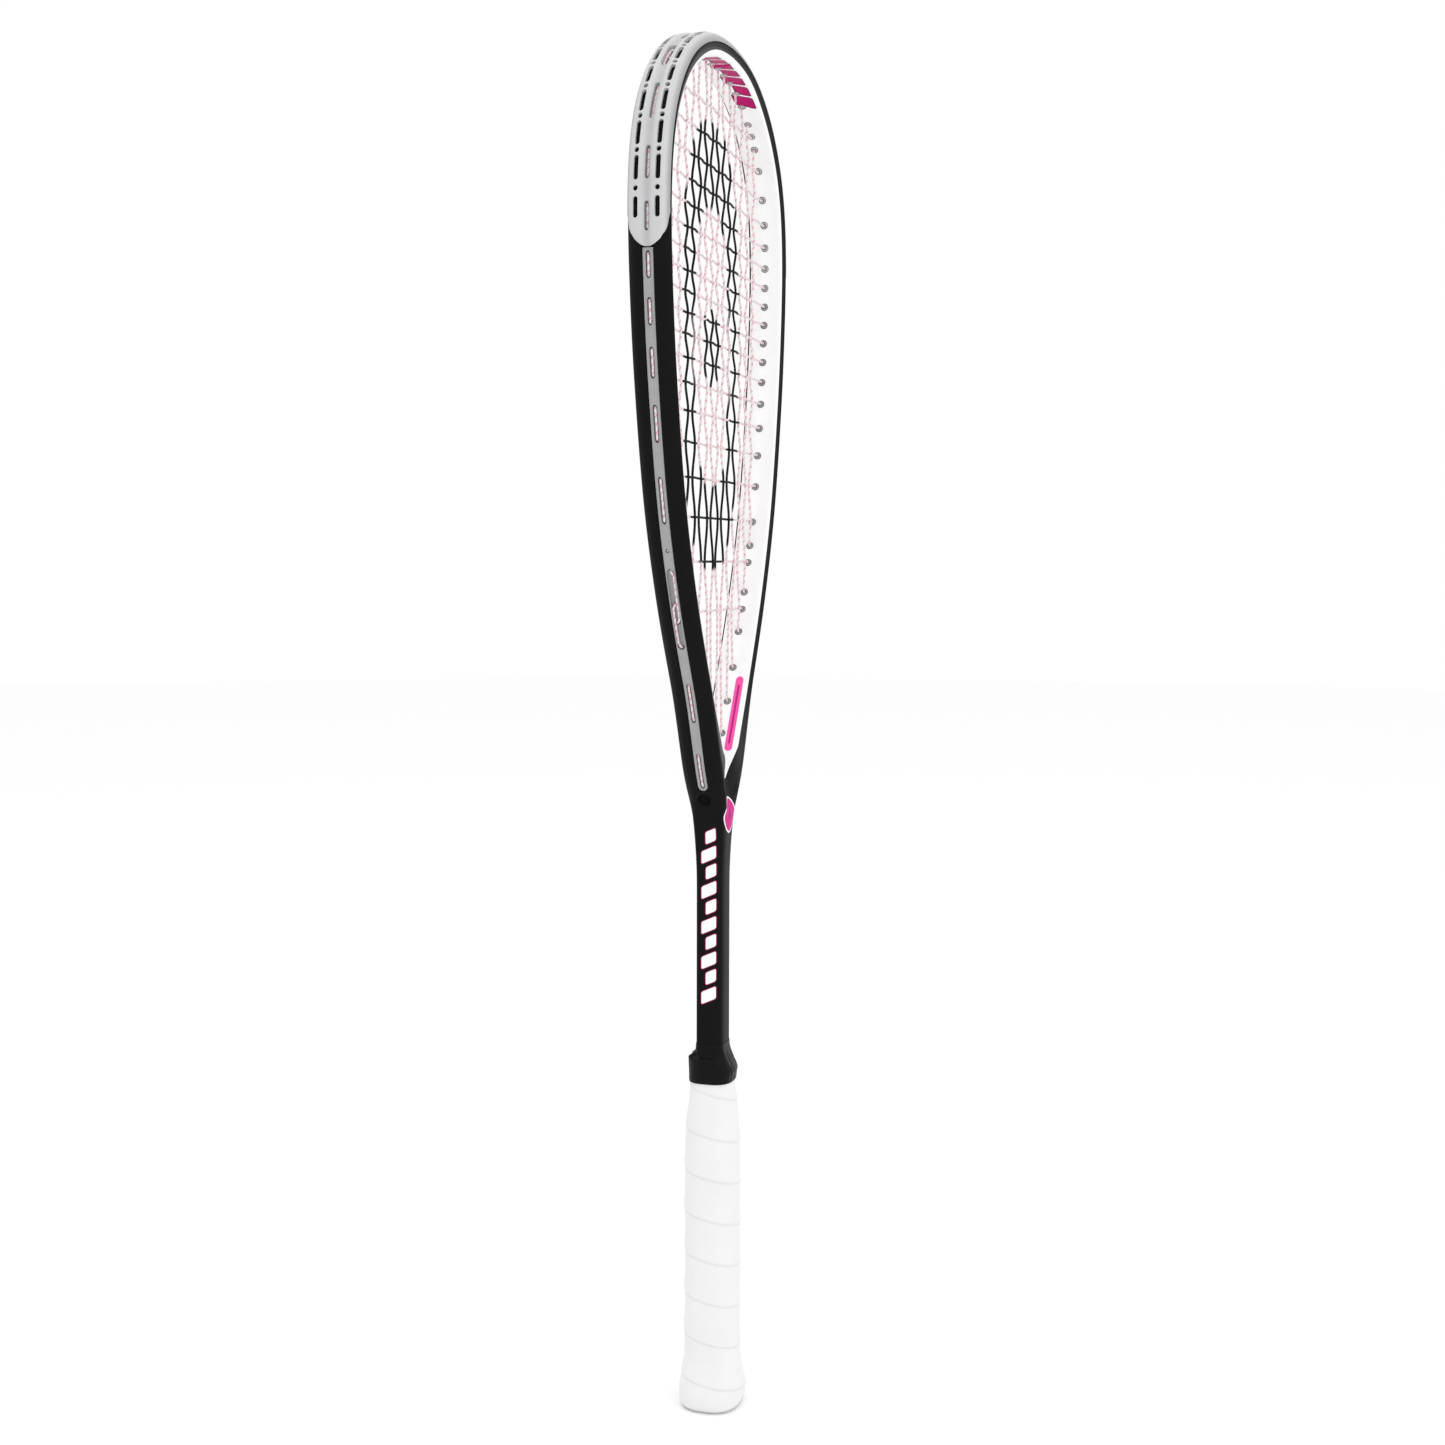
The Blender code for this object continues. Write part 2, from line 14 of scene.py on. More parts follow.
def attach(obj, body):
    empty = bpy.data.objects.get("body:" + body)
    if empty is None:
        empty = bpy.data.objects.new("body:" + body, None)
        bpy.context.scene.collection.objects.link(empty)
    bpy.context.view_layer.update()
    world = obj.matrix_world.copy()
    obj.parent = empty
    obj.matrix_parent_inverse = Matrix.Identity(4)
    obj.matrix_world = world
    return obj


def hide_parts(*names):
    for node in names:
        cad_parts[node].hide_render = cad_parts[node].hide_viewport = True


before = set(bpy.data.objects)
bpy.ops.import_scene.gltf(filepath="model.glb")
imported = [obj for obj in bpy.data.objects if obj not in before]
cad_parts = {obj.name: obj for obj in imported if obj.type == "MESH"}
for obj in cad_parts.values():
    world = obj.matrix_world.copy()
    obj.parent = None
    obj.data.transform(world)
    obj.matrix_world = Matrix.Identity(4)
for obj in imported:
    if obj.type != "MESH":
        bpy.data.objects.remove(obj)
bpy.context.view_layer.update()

MM = 0.001

# ---- camera (metres, radians)
CAMERA_AT = (-0.92336, -0.27448, 0.43526)
CAMERA_HEADING = math.radians(-73.711)
CAMERA_PITCH = math.radians(4.890)
CAMERA_ROLL = math.radians(0.156)
LENS = 47.91
SENSOR = 36.0

# ---- outline, as in the CAD (mm)
# Inner edge of the hoop, right half: (x, z) from the crotch up to the middle of the top.
INNER_EDGE = [
    (0, 324), (15, 346.5), (35, 378.5), (56.5, 418), (74, 461), (86.5, 511.5), (93.3, 555),
    (95.4, 592), (91.3, 620), (80, 641.5), (60, 659.5), (32, 671.2), (0, 674.8),
]
BEAM_WIDTH = 9.4
CROTCH_WIDTH = 17.0
CROTCH_BLEND = 65.0
BEAM_HALF_DEPTH = 10.2
SHAFT_HALF_DEPTH = 7.2
SHAFT_HALF_WIDTH = 8.75
DEPTH_BLEND = (270.0, 340.0)
# Stations of the throat below the crotch: (z of the middle, half width, z of the outer edge).
THROAT = [(308, 10.6, 303), (294, 9.3, 292), (277, 8.8, 277), (257, 8.75, 257)]
SHAFT_BOTTOM = 12.0
EDGE_DROP = 0.14
# How the beam rounds off from its side to its face: distance in from its full width, and share
# of its half depth.
SIDE_ROUNDING = [(0.94, 0.68), (2.44, 0.90), (3.95, 1.0)]
FACE_TO_SIDE = SIDE_ROUNDING[-1][0]
CROTCH_SLOPE = 1.5  # rise of the inner edge over its run, next to the crotch
CROTCH_ROUND = 1.0  # half width of the fillet in the crotch
INNER_COLUMNS = 14  # faces of half a section that belong to the inner face and its corner
FRONT_COLUMNS = 16  # the same with the part of the front face that carries the inner paint

CHANNEL_HALF = 2.8  # the channel along the outer face, which holds the strips
CHANNEL_DEPTH = 2.3
CHANNEL_END = 6.3  # length of arm from the crotch to its rounded end
DIMPLE = (12.1, 0.4, 315.7)  # a moulding mark below the channel
DIMPLE_BALL = 3.4
DIMPLE_DEPTH = 0.42

# ---- grommets
GAP = 0.3
CUT_ABOVE = 3.0  # how far cutters stand out of the hoop's outer face
HOLE_RADIUS = 2.0
BARREL_RADIUS = 1.65
BARREL_STANDS = 0.6  # how far a barrel stands out of the inner face
BARREL_BURIED = 1.9  # depth of its outer end
BARREL_LIP = 0.3
BORE_RADIUS = 1.0
BORE_START = 4.0  # how far out of the inner edge the wide bore in a strip or the guard starts
STRIP_HALF = 2.5
STRIP_TOP = 572.4
STRIP_START = 6.7
POCKET_DEPTH = 1.6  # of the windows in which the strings lie
POCKET_HALF = 1.15
POCKET_HALF_WIDE = 1.9  # where strings lie side by side
POCKET_MARGIN = 0.6  # beyond the middle of the last hole

# ---- guard over the head; stations are lengths along the inner edge from the middle of the top
BUMPER_CLEAR = 0.35
BUMPER_RISE = 1.59
BUMPER_RISE_END = 1.2
BUMPER_THINNEST = 150.0  # station beyond which it has the rise of its ends
BUMPER_TONGUE_END = 161.7
BUMPER_FULL = 9.7  # the reach above which it wraps round the beam's corners
# Share of the way from its middle to its edge, and share of the full rise there.
BUMPER_SECTION = [(0, 0.16), (0.1, 0.26), (0.24, 0.8), (0.38, 1.0), (0.6, 1.0), (0.72, 0.82),
                  (0.82, 0.5), (0.92, 0.26), (0.98, 0.16), (1, 0.04)]
# Station, and half the guard's reach across the beam.
WING_KNOTS = [(142, 9.75), (146, 9.7), (149, 9.35), (152.5, 8.7), (155.5, 7.7), (158.2, 6.0),
              (160.0, 4.2), (161.1, 2.6), (BUMPER_TONGUE_END, 1.2)]
LIP = 2.9  # how far it reaches onto the beam's faces
SLOT_PITCH = 14.37
SLOT_SPAN = 9  # slots on each side of the middle one, besides the shorter last one
SLOT_LENGTH = 10.2
SLOT_LAST = 145.5  # station of the last slot
SLOT_SHORT = 8.8
SLOT_HALF = 1.15
SLOT_OUT = 5.1  # distance of the rows of slots from the middle of the beam

# ---- strings
STRING_RADIUS = 0.6
MAINS = 7  # on each side
# x of a main at the throat and at the top: first, pitch, growth and its power.
MAIN_FANS = [(4.9, 9.75, 0.1, 2), (5.2, 10.3, 0.028, 3)]
CROSSES = 19
MIDDLE_CROSS = 9
MIDDLE_CROSS_Z = 560.4
CROSS_PITCH = 9.8
CROSS_SPREAD = (0.031, 0.054)  # above and below the middle one
WEAVE = 0.63  # how far each string swings to either side
MOUTH = -1.5  # how far out of the inner edge a string leaves its hole
LOOP_DEPTH = 0.75  # of a string's middle under the hoop's outer face
LOOP_SIDE = 1.25  # how far aside it lies where another string comes out
LOOP_ASIDE = 0.12  # and elsewhere
LOOP_START = 2.4  # from a hole's middle to the straight stretch in the channel
BEND_RADIUS = 1.3

# ---- handle: (z, half width, half depth)
GRIP_OUTSIDE = [
    (2.0, 17.3, 15.7), (4.5, 18.1, 16.5), (9, 18.2, 16.6), (16, 17.0, 15.5), (23, 15.8, 14.5),
    (31, 15.2, 13.9), (70, 15.1, 13.8), (132, 15.0, 13.7), (150, 14.1, 13.0), (164.5, 12.6, 11.5),
    (172.0, 12.15, 11.0),
]
GRIP_INSIDE = [
    (4.0, 17.6, 16.0), (9.0, 18.1, 16.5), (20, 16.3, 14.9), (40, 15.2, 13.9), (132, 15.0, 13.7),
    (150, 14.1, 13.0), (164.0, 12.7, 11.6), (171.6, 12.2, 11.0),
]
GRIP_LAYER = 1.75  # from the widths above down to the pallets
GRIP_SIDES = 160
ROUND_POWER = 2.5
WRAP_PITCH = 21.5
WRAP_PHASE = 13.9  # height of the lowest seam where it faces the camera
WRAP_FACING = math.radians(196.6)
WRAP_STEP = 0.42  # how far an overlapping edge stands out
TAPE_LOW = 170.4
TAPE_HIGH = 190.0
TAPE_SIDE = (12.45, 11.25)


# ---- small maths
def smoothstep(value, low, high):
    t = np.clip((np.asarray(value, float) - low) / (high - low), 0, 1)
    return t * t * (3 - 2 * t)


def spline(knots, steps):
    """A Catmull-Rom curve through knots of any shape, with the given steps in each gap.

    The first and the last knot only steer the curve and aren't on it.
    """
    knots = np.asarray(knots, float)
    t = (np.arange(steps) / steps).reshape((-1,) + (1,) * (knots.ndim - 1))
    parts = []
    for p0, p1, p2, p3 in zip(knots, knots[1:], knots[2:], knots[3:]):
        parts.append(
            0.5 * (2 * p1 + (p2 - p0) * t + (2 * p0 - 5 * p1 + 4 * p2 - p3) * t**2
                   + (3 * p1 - p0 - 3 * p2 + p3) * t**3)
        )
    return np.concatenate(parts + [knots[-2][None]])


def open_spline(knots, steps):
    """The same through every knot, its ends included."""
    knots = np.asarray(knots, float)
    before, after = 2 * knots[0] - knots[1], 2 * knots[-1] - knots[-2]
    return spline(np.concatenate([before[None], knots, after[None]]), steps)


def lengths_along(line):
    """The way along a polyline to each of its points."""
    return np.concatenate([[0], np.cumsum(np.linalg.norm(np.diff(line, axis=0), axis=1))])


def resampled(line, count):
    """A polyline with a given number of evenly spaced points."""
    run = lengths_along(line)
    even = np.linspace(0, run[-1], count)
    return np.stack([np.interp(even, run, line[:, k]) for k in range(line.shape[1])], 1)


KNOTS = np.array(INNER_EDGE, float)
EDGE = spline(np.vstack([2 * KNOTS[0] - KNOTS[1], KNOTS, KNOTS[-2] * (-1, 1)]), 24)
EDGE_AT = lengths_along(EDGE)
ARM = EDGE_AT[-1]
WIDEST = int(np.argmax(EDGE[:, 0]))
WING_OUTLINE = open_spline(WING_KNOTS, 8)


def edge_point(length):
    return np.array([np.interp(length, EDGE_AT, EDGE[:, k]) for k in range(2)])


def edge_normal(length):
    """Points out of the head, in the plane of the head."""
    if length > ARM - 0.01:
        return np.array([0.0, 1.0])
    step = 0.4
    along = edge_point(min(length + step, ARM)) - edge_point(max(length - step, 0))
    along /= np.linalg.norm(along)
    return np.array([along[1], -along[0]])


def beam_width(length):
    return float(CROTCH_WIDTH + (BEAM_WIDTH - CROTCH_WIDTH) * smoothstep(length, 0, CROTCH_BLEND))


def half_depth(z):
    grow = smoothstep(z, *DEPTH_BLEND)
    return float(SHAFT_HALF_DEPTH + (BEAM_HALF_DEPTH - SHAFT_HALF_DEPTH) * grow)


def hoop_point(station, out, y):
    """station runs from -ARM at the left of the crotch over 0 at the top to ARM at its right."""
    length = ARM - abs(station)
    x, z = edge_point(length) + edge_normal(length) * out
    return (math.copysign(x, station) if station else 0.0, y, z)


def width_at(station):
    return beam_width(ARM - abs(station))


def face_at(station):
    """How far out the middle of the hoop's outer face is."""
    return width_at(station) - EDGE_DROP


def side_rounding(width, depth):
    return [(width - inwards, share * depth) for inwards, share in SIDE_ROUNDING]


def outer_face(y, width, depth=BEAM_HALF_DEPTH):
    """How far out the hoop's outer face is at y from the middle."""
    outs, ys = zip(*side_rounding(width, depth))
    return np.interp(y, [CHANNEL_HALF, *ys], [width - EDGE_DROP, *outs])


def station_at_height(z):
    return float(ARM - np.interp(z, EDGE[:, 1], EDGE_AT))


def station_below(x):
    """Station at which the inner edge is x from the middle, below the head's widest place."""
    return float(ARM - np.interp(x, EDGE[:WIDEST, 0], EDGE_AT[:WIDEST]))


def station_above(x):
    return float(ARM - np.interp(-x, -EDGE[WIDEST:, 0], EDGE_AT[WIDEST:]))


# ---- meshes
def placed(name, data):
    """A new object in the scene."""
    obj = bpy.data.objects.new(name, data)
    bpy.context.scene.collection.objects.link(obj)
    return obj


def skin(rings, ends="capped"):
    """Faces between successive rings of equally many points, whose ends are capped, open or joined."""
    rows, columns = len(rings), len(rings[0])
    faces = []
    for r in range(rows if ends == "joined" else rows - 1):
        here, above = r * columns, (r + 1) % rows * columns
        for c in range(columns):
            d = (c + 1) % columns
            faces.append((here + c, here + d, above + d, above + c))
    if ends == "capped":
        faces.append(tuple(range(columns)))
        faces.append(tuple(range((rows - 1) * columns, rows * columns)))
    return faces


def piece_from(name, verts, faces, materials=(), indices=None):
    """An object from points in millimetres. Coincident points become one."""
    mesh = bpy.data.meshes.new(name)
    mesh.from_pydata([tuple(v) for v in np.asarray(verts, float) * MM], [], faces)
    if indices is not None:
        mesh.polygons.foreach_set("material_index", indices)
    bm = bmesh.new()
    bm.from_mesh(mesh)
    bmesh.ops.remove_doubles(bm, verts=bm.verts[:], dist=1e-6)
    bmesh.ops.dissolve_degenerate(bm, edges=bm.edges[:], dist=1e-7)
    bmesh.ops.recalc_face_normals(bm, faces=bm.faces[:])
    bm.to_mesh(mesh)
    bm.free()
    for material in materials:
        mesh.materials.append(material)
    return placed(name, mesh)


def loft(name, rings, material, ends="capped"):
    verts = np.asarray(rings, float).reshape(-1, 3)
    return piece_from(name, verts, skin(rings, ends), [material])


def add_shells(obj, shells):
    """Adds closed shells, each (points in mm, faces), to a piece's mesh."""
    bm = bmesh.new()
    bm.from_mesh(obj.data)
    for verts, faces in shells:
        made = [bm.verts.new(Vector(v) * MM) for v in verts]
        for face in faces:
            bm.faces.new([made[i] for i in face])
    bmesh.ops.recalc_face_normals(bm, faces=bm.faces[:])
    bm.to_mesh(obj.data)
    bm.free()


def cut(obj, shells):
    """Takes closed shells, each (points in mm, faces), out of the piece, for good."""
    verts, faces = [], []
    for shell_verts, shell_faces in shells:
        faces += [tuple(i + len(verts) for i in face) for face in shell_faces]
        verts += shell_verts
    cutter = piece_from("cutter", verts, faces)
    modifier = obj.modifiers.new("cut", "BOOLEAN")
    modifier.operation = "DIFFERENCE"
    modifier.solver = "EXACT"
    modifier.object = cutter
    graph = bpy.context.evaluated_depsgraph_get()
    mesh = bpy.data.meshes.new_from_object(obj.evaluated_get(graph))
    old = obj.data
    obj.modifiers.clear()
    obj.data = mesh
    mesh.name = obj.name
    bpy.data.meshes.remove(old)
    bpy.data.objects.remove(cutter, do_unlink=True)


def smooth(obj, degrees=38):
    obj.data.shade_smooth()
    obj.data.set_sharp_from_angle(angle=math.radians(degrees))


def store(obj, name, values, kind="FLOAT"):
    """Gives each point of a piece a number, or a vector, that its material reads."""
    attribute = obj.data.attributes.new(name, kind, "POINT")
    key = "value" if kind == "FLOAT" else "vector"
    attribute.data.foreach_set(key, np.asarray(values, np.float32).ravel())


def points_of(obj):
    co = np.zeros(len(obj.data.vertices) * 3)
    obj.data.vertices.foreach_get("co", co)
    return co.reshape(-1, 3) / MM


def store_along(obj):
    """Gives each point of a hoop piece its place along the hoop's inner edge, in mm."""
    co = points_of(obj)
    fine = np.linspace(0, ARM, 900)
    curve = np.array([edge_point(length) for length in fine])
    nearest = np.zeros(len(co))
    block = 4000
    for first in range(0, len(co), block):
        flat = np.abs(co[first:first + block, ::2])
        square = ((flat[:, None, :] - curve[None]) ** 2).sum(2)
        nearest[first:first + block] = fine[square.argmin(1)]
    store(obj, "along", (ARM - nearest) * np.sign(co[:, 0] + 1e-9))


def mirrored(front):
    """A closed ring's (out, y) points from its front half, whose ends lie on y = 0."""
    return np.concatenate([front, (front * (1, -1))[-2:0:-1]])


def circle(radius, height, sides):
    """Points round the Z axis."""
    angles = [math.tau * i / sides for i in range(sides)]
    return [(radius * math.cos(a), radius * math.sin(a), height) for a in angles]


def shell(rings, ends="capped"):
    """A closed skin over rings, as points and faces."""
    return [p for ring in rings for p in ring], skin(rings, ends)


def rod(start, stop, radius, sides):
    """A closed prism between two points, as points and faces."""
    start, stop = Vector(start), Vector(stop)
    turn = (stop - start).to_track_quat("Z", "Y")
    flat = circle(radius, 0, sides)
    return shell([[tuple(centre + turn @ Vector(p)) for p in flat] for centre in (start, stop)])


def drills(stations, start, past, radius, sides):
    """A round cutter at each station, from start out to somewhere past the beam's width."""
    return [rod(hoop_point(s, start, 0), hoop_point(s, width_at(s) + past, 0), radius, sides)
            for s in stations]


def ball(centre, radius, sides=28):
    """A closed globe with small flats at its poles, as points and faces."""
    rings = []
    for tilt in np.linspace(0.08, math.pi - 0.08, 15):
        ring = circle(radius * math.sin(tilt), radius * math.cos(tilt), sides)
        rings.append([tuple(np.add(centre, p)) for p in ring])
    return shell(rings)


def barrel(station):
    """A grommet's hollow barrel with rounded lips, as points and faces."""
    inner = hoop_point(station, -BARREL_STANDS, 0)
    outer = hoop_point(station, width_at(station) - BARREL_BURIED, 0)
    axis = np.subtract(outer, inner)
    length = np.linalg.norm(axis)
    turn = Vector(axis).to_track_quat("Z", "Y")
    middle = (BARREL_RADIUS + BORE_RADIUS) / 2
    half = (BARREL_RADIUS - BORE_RADIUS) / 2
    lip = [(middle - half * math.cos(a), BARREL_LIP - BARREL_LIP * math.sin(a))
           for a in np.linspace(0, math.pi, 7)]
    profile = lip + [(BARREL_RADIUS, length), (BORE_RADIUS, length)]
    start = Vector(inner)
    return shell([[tuple(start + turn @ Vector(p)) for p in circle(radius, height, 20)]
                  for radius, height in profile], "joined")


def stadium(start, stop, y, half, low, high):
    """A cutter along the hoop with round ends, between out = low and high, as points and faces.

    low and high are measured from the hoop's outer face.
    """
    ends = half * (1 - np.cos(np.linspace(0, math.pi / 2, 7)))
    length = abs(stop - start)
    middle = []
    if length > 2 * half + 0.01:
        middle = np.linspace(half, length - half, max(2, int(length / 2.5)))
    steps = np.unique(np.round(np.concatenate([ends[1:], middle, length - ends[1:]]), 5))
    rings = []
    for step in steps:
        into = min(step, length - step)
        wide = half if into >= half else math.sqrt(max(half**2 - (half - into) ** 2, 1e-4))
        station = start + math.copysign(step, stop - start)
        face = face_at(station)
        rings.append([hoop_point(station, face + depth, y + side) for depth, side in
                      ((low, -wide), (high, -wide), (high, wide), (low, wide))])
    return shell(rings)


def oval(z, half_width, half_depth, power, sides):
    """A ring round the Z axis between an ellipse, at power 2, and a rectangle."""
    angle = math.tau * (np.arange(sides) + 0.5) / sides
    c, s = np.cos(angle), np.sin(angle)
    x = half_width * np.sign(c) * np.abs(c) ** (2 / power)
    y = half_depth * np.sign(s) * np.abs(s) ** (2 / power)
    return np.stack([x, y, np.full(sides, float(z))], 1)


# ---- materials
def operator(operation, swapped=False):
    def apply(self, other):
        return self.paint.math(operation, *((other, self) if swapped else (self, other)))
    return apply


class Value:
    """The output of a node, which can be calculated with like a number."""

    def __init__(self, paint, socket):
        self.paint = paint
        self.socket = socket

    __add__, __radd__ = operator("ADD"), operator("ADD", True)
    __sub__, __rsub__ = operator("SUBTRACT"), operator("SUBTRACT", True)
    __mul__, __truediv__, __pow__ = operator("MULTIPLY"), operator("DIVIDE"), operator("POWER")

    def __abs__(self):
        return self.paint.math("ABSOLUTE", self)


class Paint:
    """A short way to write the nodes of one Principled material."""

    def __init__(self, name, **constants):
        self.material = bpy.data.materials.new(name)
        self.material.use_nodes = True
        self.tree = self.material.node_tree
        self.shader = self.tree.nodes["Principled BSDF"]
        self.normal = None
        for key, value in constants.items():
            self.shader.inputs[key.replace("_", " ")].default_value = value
        metres = self.node("ShaderNodeTexCoord", {}, "Object")
        millimetres = {0: metres, "Scale": 1 / MM}
        self.place = self.node("ShaderNodeVectorMath", millimetres, operation="SCALE")

    def put(self, socket, value):
        if isinstance(value, Value):
            self.tree.links.new(value.socket, socket)
        elif isinstance(value, tuple) and socket.type == "RGBA":
            socket.default_value = (*value, 1.0)
        else:
            socket.default_value = value

    def node(self, kind, inputs, output=0, **settings):
        """One output of a new node."""
        node = self.tree.nodes.new(kind)
        for key, value in settings.items():
            setattr(node, key, value)
        for key, value in inputs.items():
            self.put(node.inputs[key], value)
        return Value(self, node.outputs[output])

    def colour(self, value):
        self.put(self.shader.inputs["Base Color"], value)

    def rough(self, least, spread, pattern):
        self.put(self.shader.inputs["Roughness"], pattern * spread + least)

    def bump(self, height, distance, strength):
        """Adds relief to what is there already. distance is in mm."""
        inputs = {"Height": height, "Distance": distance * MM, "Strength": strength}
        if self.normal:
            inputs["Normal"] = self.normal
        self.normal = self.node("ShaderNodeBump", inputs, "Normal")
        self.put(self.shader.inputs["Normal"], self.normal)

    def math(self, operation, *values):
        return self.node("ShaderNodeMath", dict(enumerate(values)), operation=operation)

    def length(self, a, b):
        return self.math("SQRT", a * a + b * b)

    def ramp(self, value, limits, results):
        """A smooth change between two results as a value runs between two limits."""
        inputs = dict(zip(("From Min", "From Max", "To Min", "To Max"), (*limits, *results)))
        inputs["Value"] = value
        return self.node("ShaderNodeMapRange", inputs, "Result", interpolation_type="SMOOTHSTEP")

    def below(self, value, limit, soft):
        """1 where value is under limit and 0 above it, with a soft edge."""
        return self.ramp(value, (limit - soft, limit + soft), (1.0, 0.0))

    def above(self, value, limit, soft):
        return 1.0 - self.below(value, limit, soft)

    def mix(self, factor, a, b):
        """Between two colours."""
        return self.node("ShaderNodeMix", {"Factor": factor, 6: a, 7: b}, 2, data_type="RGBA")

    def parts(self, vector):
        """The three numbers of a vector."""
        node = self.node("ShaderNodeSeparateXYZ", {0: vector}).socket.node
        return [Value(self, socket) for socket in node.outputs]

    def stored(self, name, output="Fac"):
        return self.node("ShaderNodeAttribute", {}, output, attribute_name=name)

    def noise(self, scale, detail=2.0, rough=0.5, stretch=None):
        vector = self.place
        if stretch:
            vector = self.node("ShaderNodeVectorMath", {0: vector, 1: stretch}, operation="MULTIPLY")
        inputs = {"Vector": vector, "Scale": scale, "Detail": detail, "Roughness": rough}
        return self.node("ShaderNodeTexNoise", inputs, "Fac")

    def cells(self, scale, **settings):
        """The distance from the nearest of many scattered points."""
        inputs = {"Vector": self.place, "Scale": scale}
        return self.node("ShaderNodeTexVoronoi", inputs, "Distance", **settings)


BLACK = (0.0055, 0.0055, 0.0058)
WHITE = (0.92, 0.92, 0.92)

BAR_OUTLINE = 0.45
EMBLEM_AT = (-0.6, 306.6)
EMBLEM_HALF = (8.6, 9.3)
PILL_AT = (394.0, -4.7)  # along the inner edge, and y
PILL_STRAIGHT = 19.6  # half the length of its straight sides
PILL_RADIUS = 2.05
WHITE_REACH = 7.85  # half the width of the white stretch inside the hoop
WHITE_ON_FRONT = 1.18  # how much further it goes towards the camera
STENCIL_AT = (-5.5, 538.0)
RING_HALF = (39.5, 88.0)
RING_POWER = 2.6
RING_SHARE = 0.235  # half its band, as a share of its size
SPOT_HALF = (15.5, 19.0)


def slanted_bars(paint, along, across, count, pitch, slant, half, radius):
    """Distance in mm from a row of slanted bars with round corners; every other bar is short.

    The row starts where along is 0. Beyond its ends the distance is large. half holds half of
    a bar's size along the row and across it.
    """
    run = (along + across * slant) / pitch
    cell = paint.math("FLOOR", run)
    beyond = paint.below(cell, -0.5, 0.02) + paint.above(cell, count - 0.5, 0.02)
    short = paint.math("MODULO", abs(cell), 2.0) * (half[1] * 0.3)
    u = abs((run - cell - 0.5) * pitch) - (half[0] - radius)
    v = abs(across + short) - (half[1] - radius - short)
    corner = paint.length(paint.math("MAXIMUM", u, 0.0), paint.math("MAXIMUM", v, 0.0))
    return corner - radius + beyond * 100.0


def outside_paint():
    """Satin black paint over graphite, with bars on the shaft's sides and an emblem on the throat."""
    paint = Paint("satin_black_paint", Specular_IOR_Level=0.045)
    x, y, z = paint.parts(paint.place)
    colour = paint.mix(paint.noise(0.05), BLACK, (0.0075, 0.0075, 0.0078))

    on_side = paint.above(abs(x), 6.5, 0.05)
    bars = slanted_bars(paint, z - 211.0, y + 0.3, 10, 8.95, 0.45, half=(3.1, 3.8), radius=0.9)
    colour = paint.mix(on_side * paint.below(bars, BAR_OUTLINE, 0.06), colour, (0.33, 0.008, 0.09))
    colour = paint.mix(on_side * paint.below(bars, 0.0, 0.06), colour, WHITE)

    on_face = paint.above(abs(y), 5.2, 0.05)
    u = abs(x - EMBLEM_AT[0]) / EMBLEM_HALF[0]
    v = abs(z - EMBLEM_AT[1]) / EMBLEM_HALF[1]
    emblem = u**1.6 + v**1.6
    colour = paint.mix(on_face * paint.below(emblem, 1.0, 0.015), colour, WHITE)
    inner = paint.mix(paint.below(emblem, 0.12, 0.02), (0.60, 0.02, 0.24), (0.40, 0.008, 0.15))
    paint.colour(paint.mix(on_face * paint.below(emblem, 0.85, 0.015), colour, inner))

    grain = paint.noise(2.6)
    paint.rough(0.33, 0.09, paint.noise(0.035, 3) + grain)
    paint.bump(paint.noise(0.9, 3), 0.02, 0.5)
    paint.bump(grain, 0.006, 0.5)
    return paint.material


def inside_paint():
    """White paint inside the hoop with black edges, magenta bars at the top and a pill below."""
    paint = Paint("white_inner_paint", Specular_IOR_Level=0.06)
    _, y, z = paint.parts(paint.place)
    along = paint.stored("along")
    colour = paint.mix(paint.noise(0.04, 3), WHITE, (0.87, 0.87, 0.875))

    bars = slanted_bars(paint, along + 25.0, y + 2.3, 7, 10.7, 0.5, half=(4.3, 4.7), radius=1.1)
    colour = paint.mix(paint.below(bars, BAR_OUTLINE, 0.05), colour, (0.05, 0.004, 0.02))
    colour = paint.mix(paint.below(bars, 0.0, 0.05), colour, (0.42, 0.003, 0.125))

    u = abs(along - PILL_AT[0])
    v = y - PILL_AT[1]
    pill = paint.length(paint.math("MAXIMUM", u - PILL_STRAIGHT, 0.0), v)
    stripe = paint.below(abs(v), 0.55, 0.08) * paint.below(u, 17.0, 0.1)
    pill_colour = paint.mix(stripe, (0.86, 0.10, 0.40), (0.50, 0.02, 0.18))
    colour = paint.mix(paint.below(pill, PILL_RADIUS, 0.05), colour, pill_colour)

    reach = paint.below(abs(along), 45.0, 25.0) * 0.35 + WHITE_REACH
    crotch = paint.ramp(z, (320.0, 338.0), (2.4, 0.0))
    front = paint.below(y, 0.0, 0.1) * paint.ramp(z, (328.0, 341.0), (0.0, WHITE_ON_FRONT))
    white = paint.below(abs(y) - (reach - crotch + front), 0.0, 0.04)
    paint.colour(paint.mix(white, BLACK, colour))
    paint.rough(0.26, 0.1, paint.noise(0.6, 3))
    paint.bump(paint.noise(0.8, 3), 0.02, 0.4)
    return paint.material


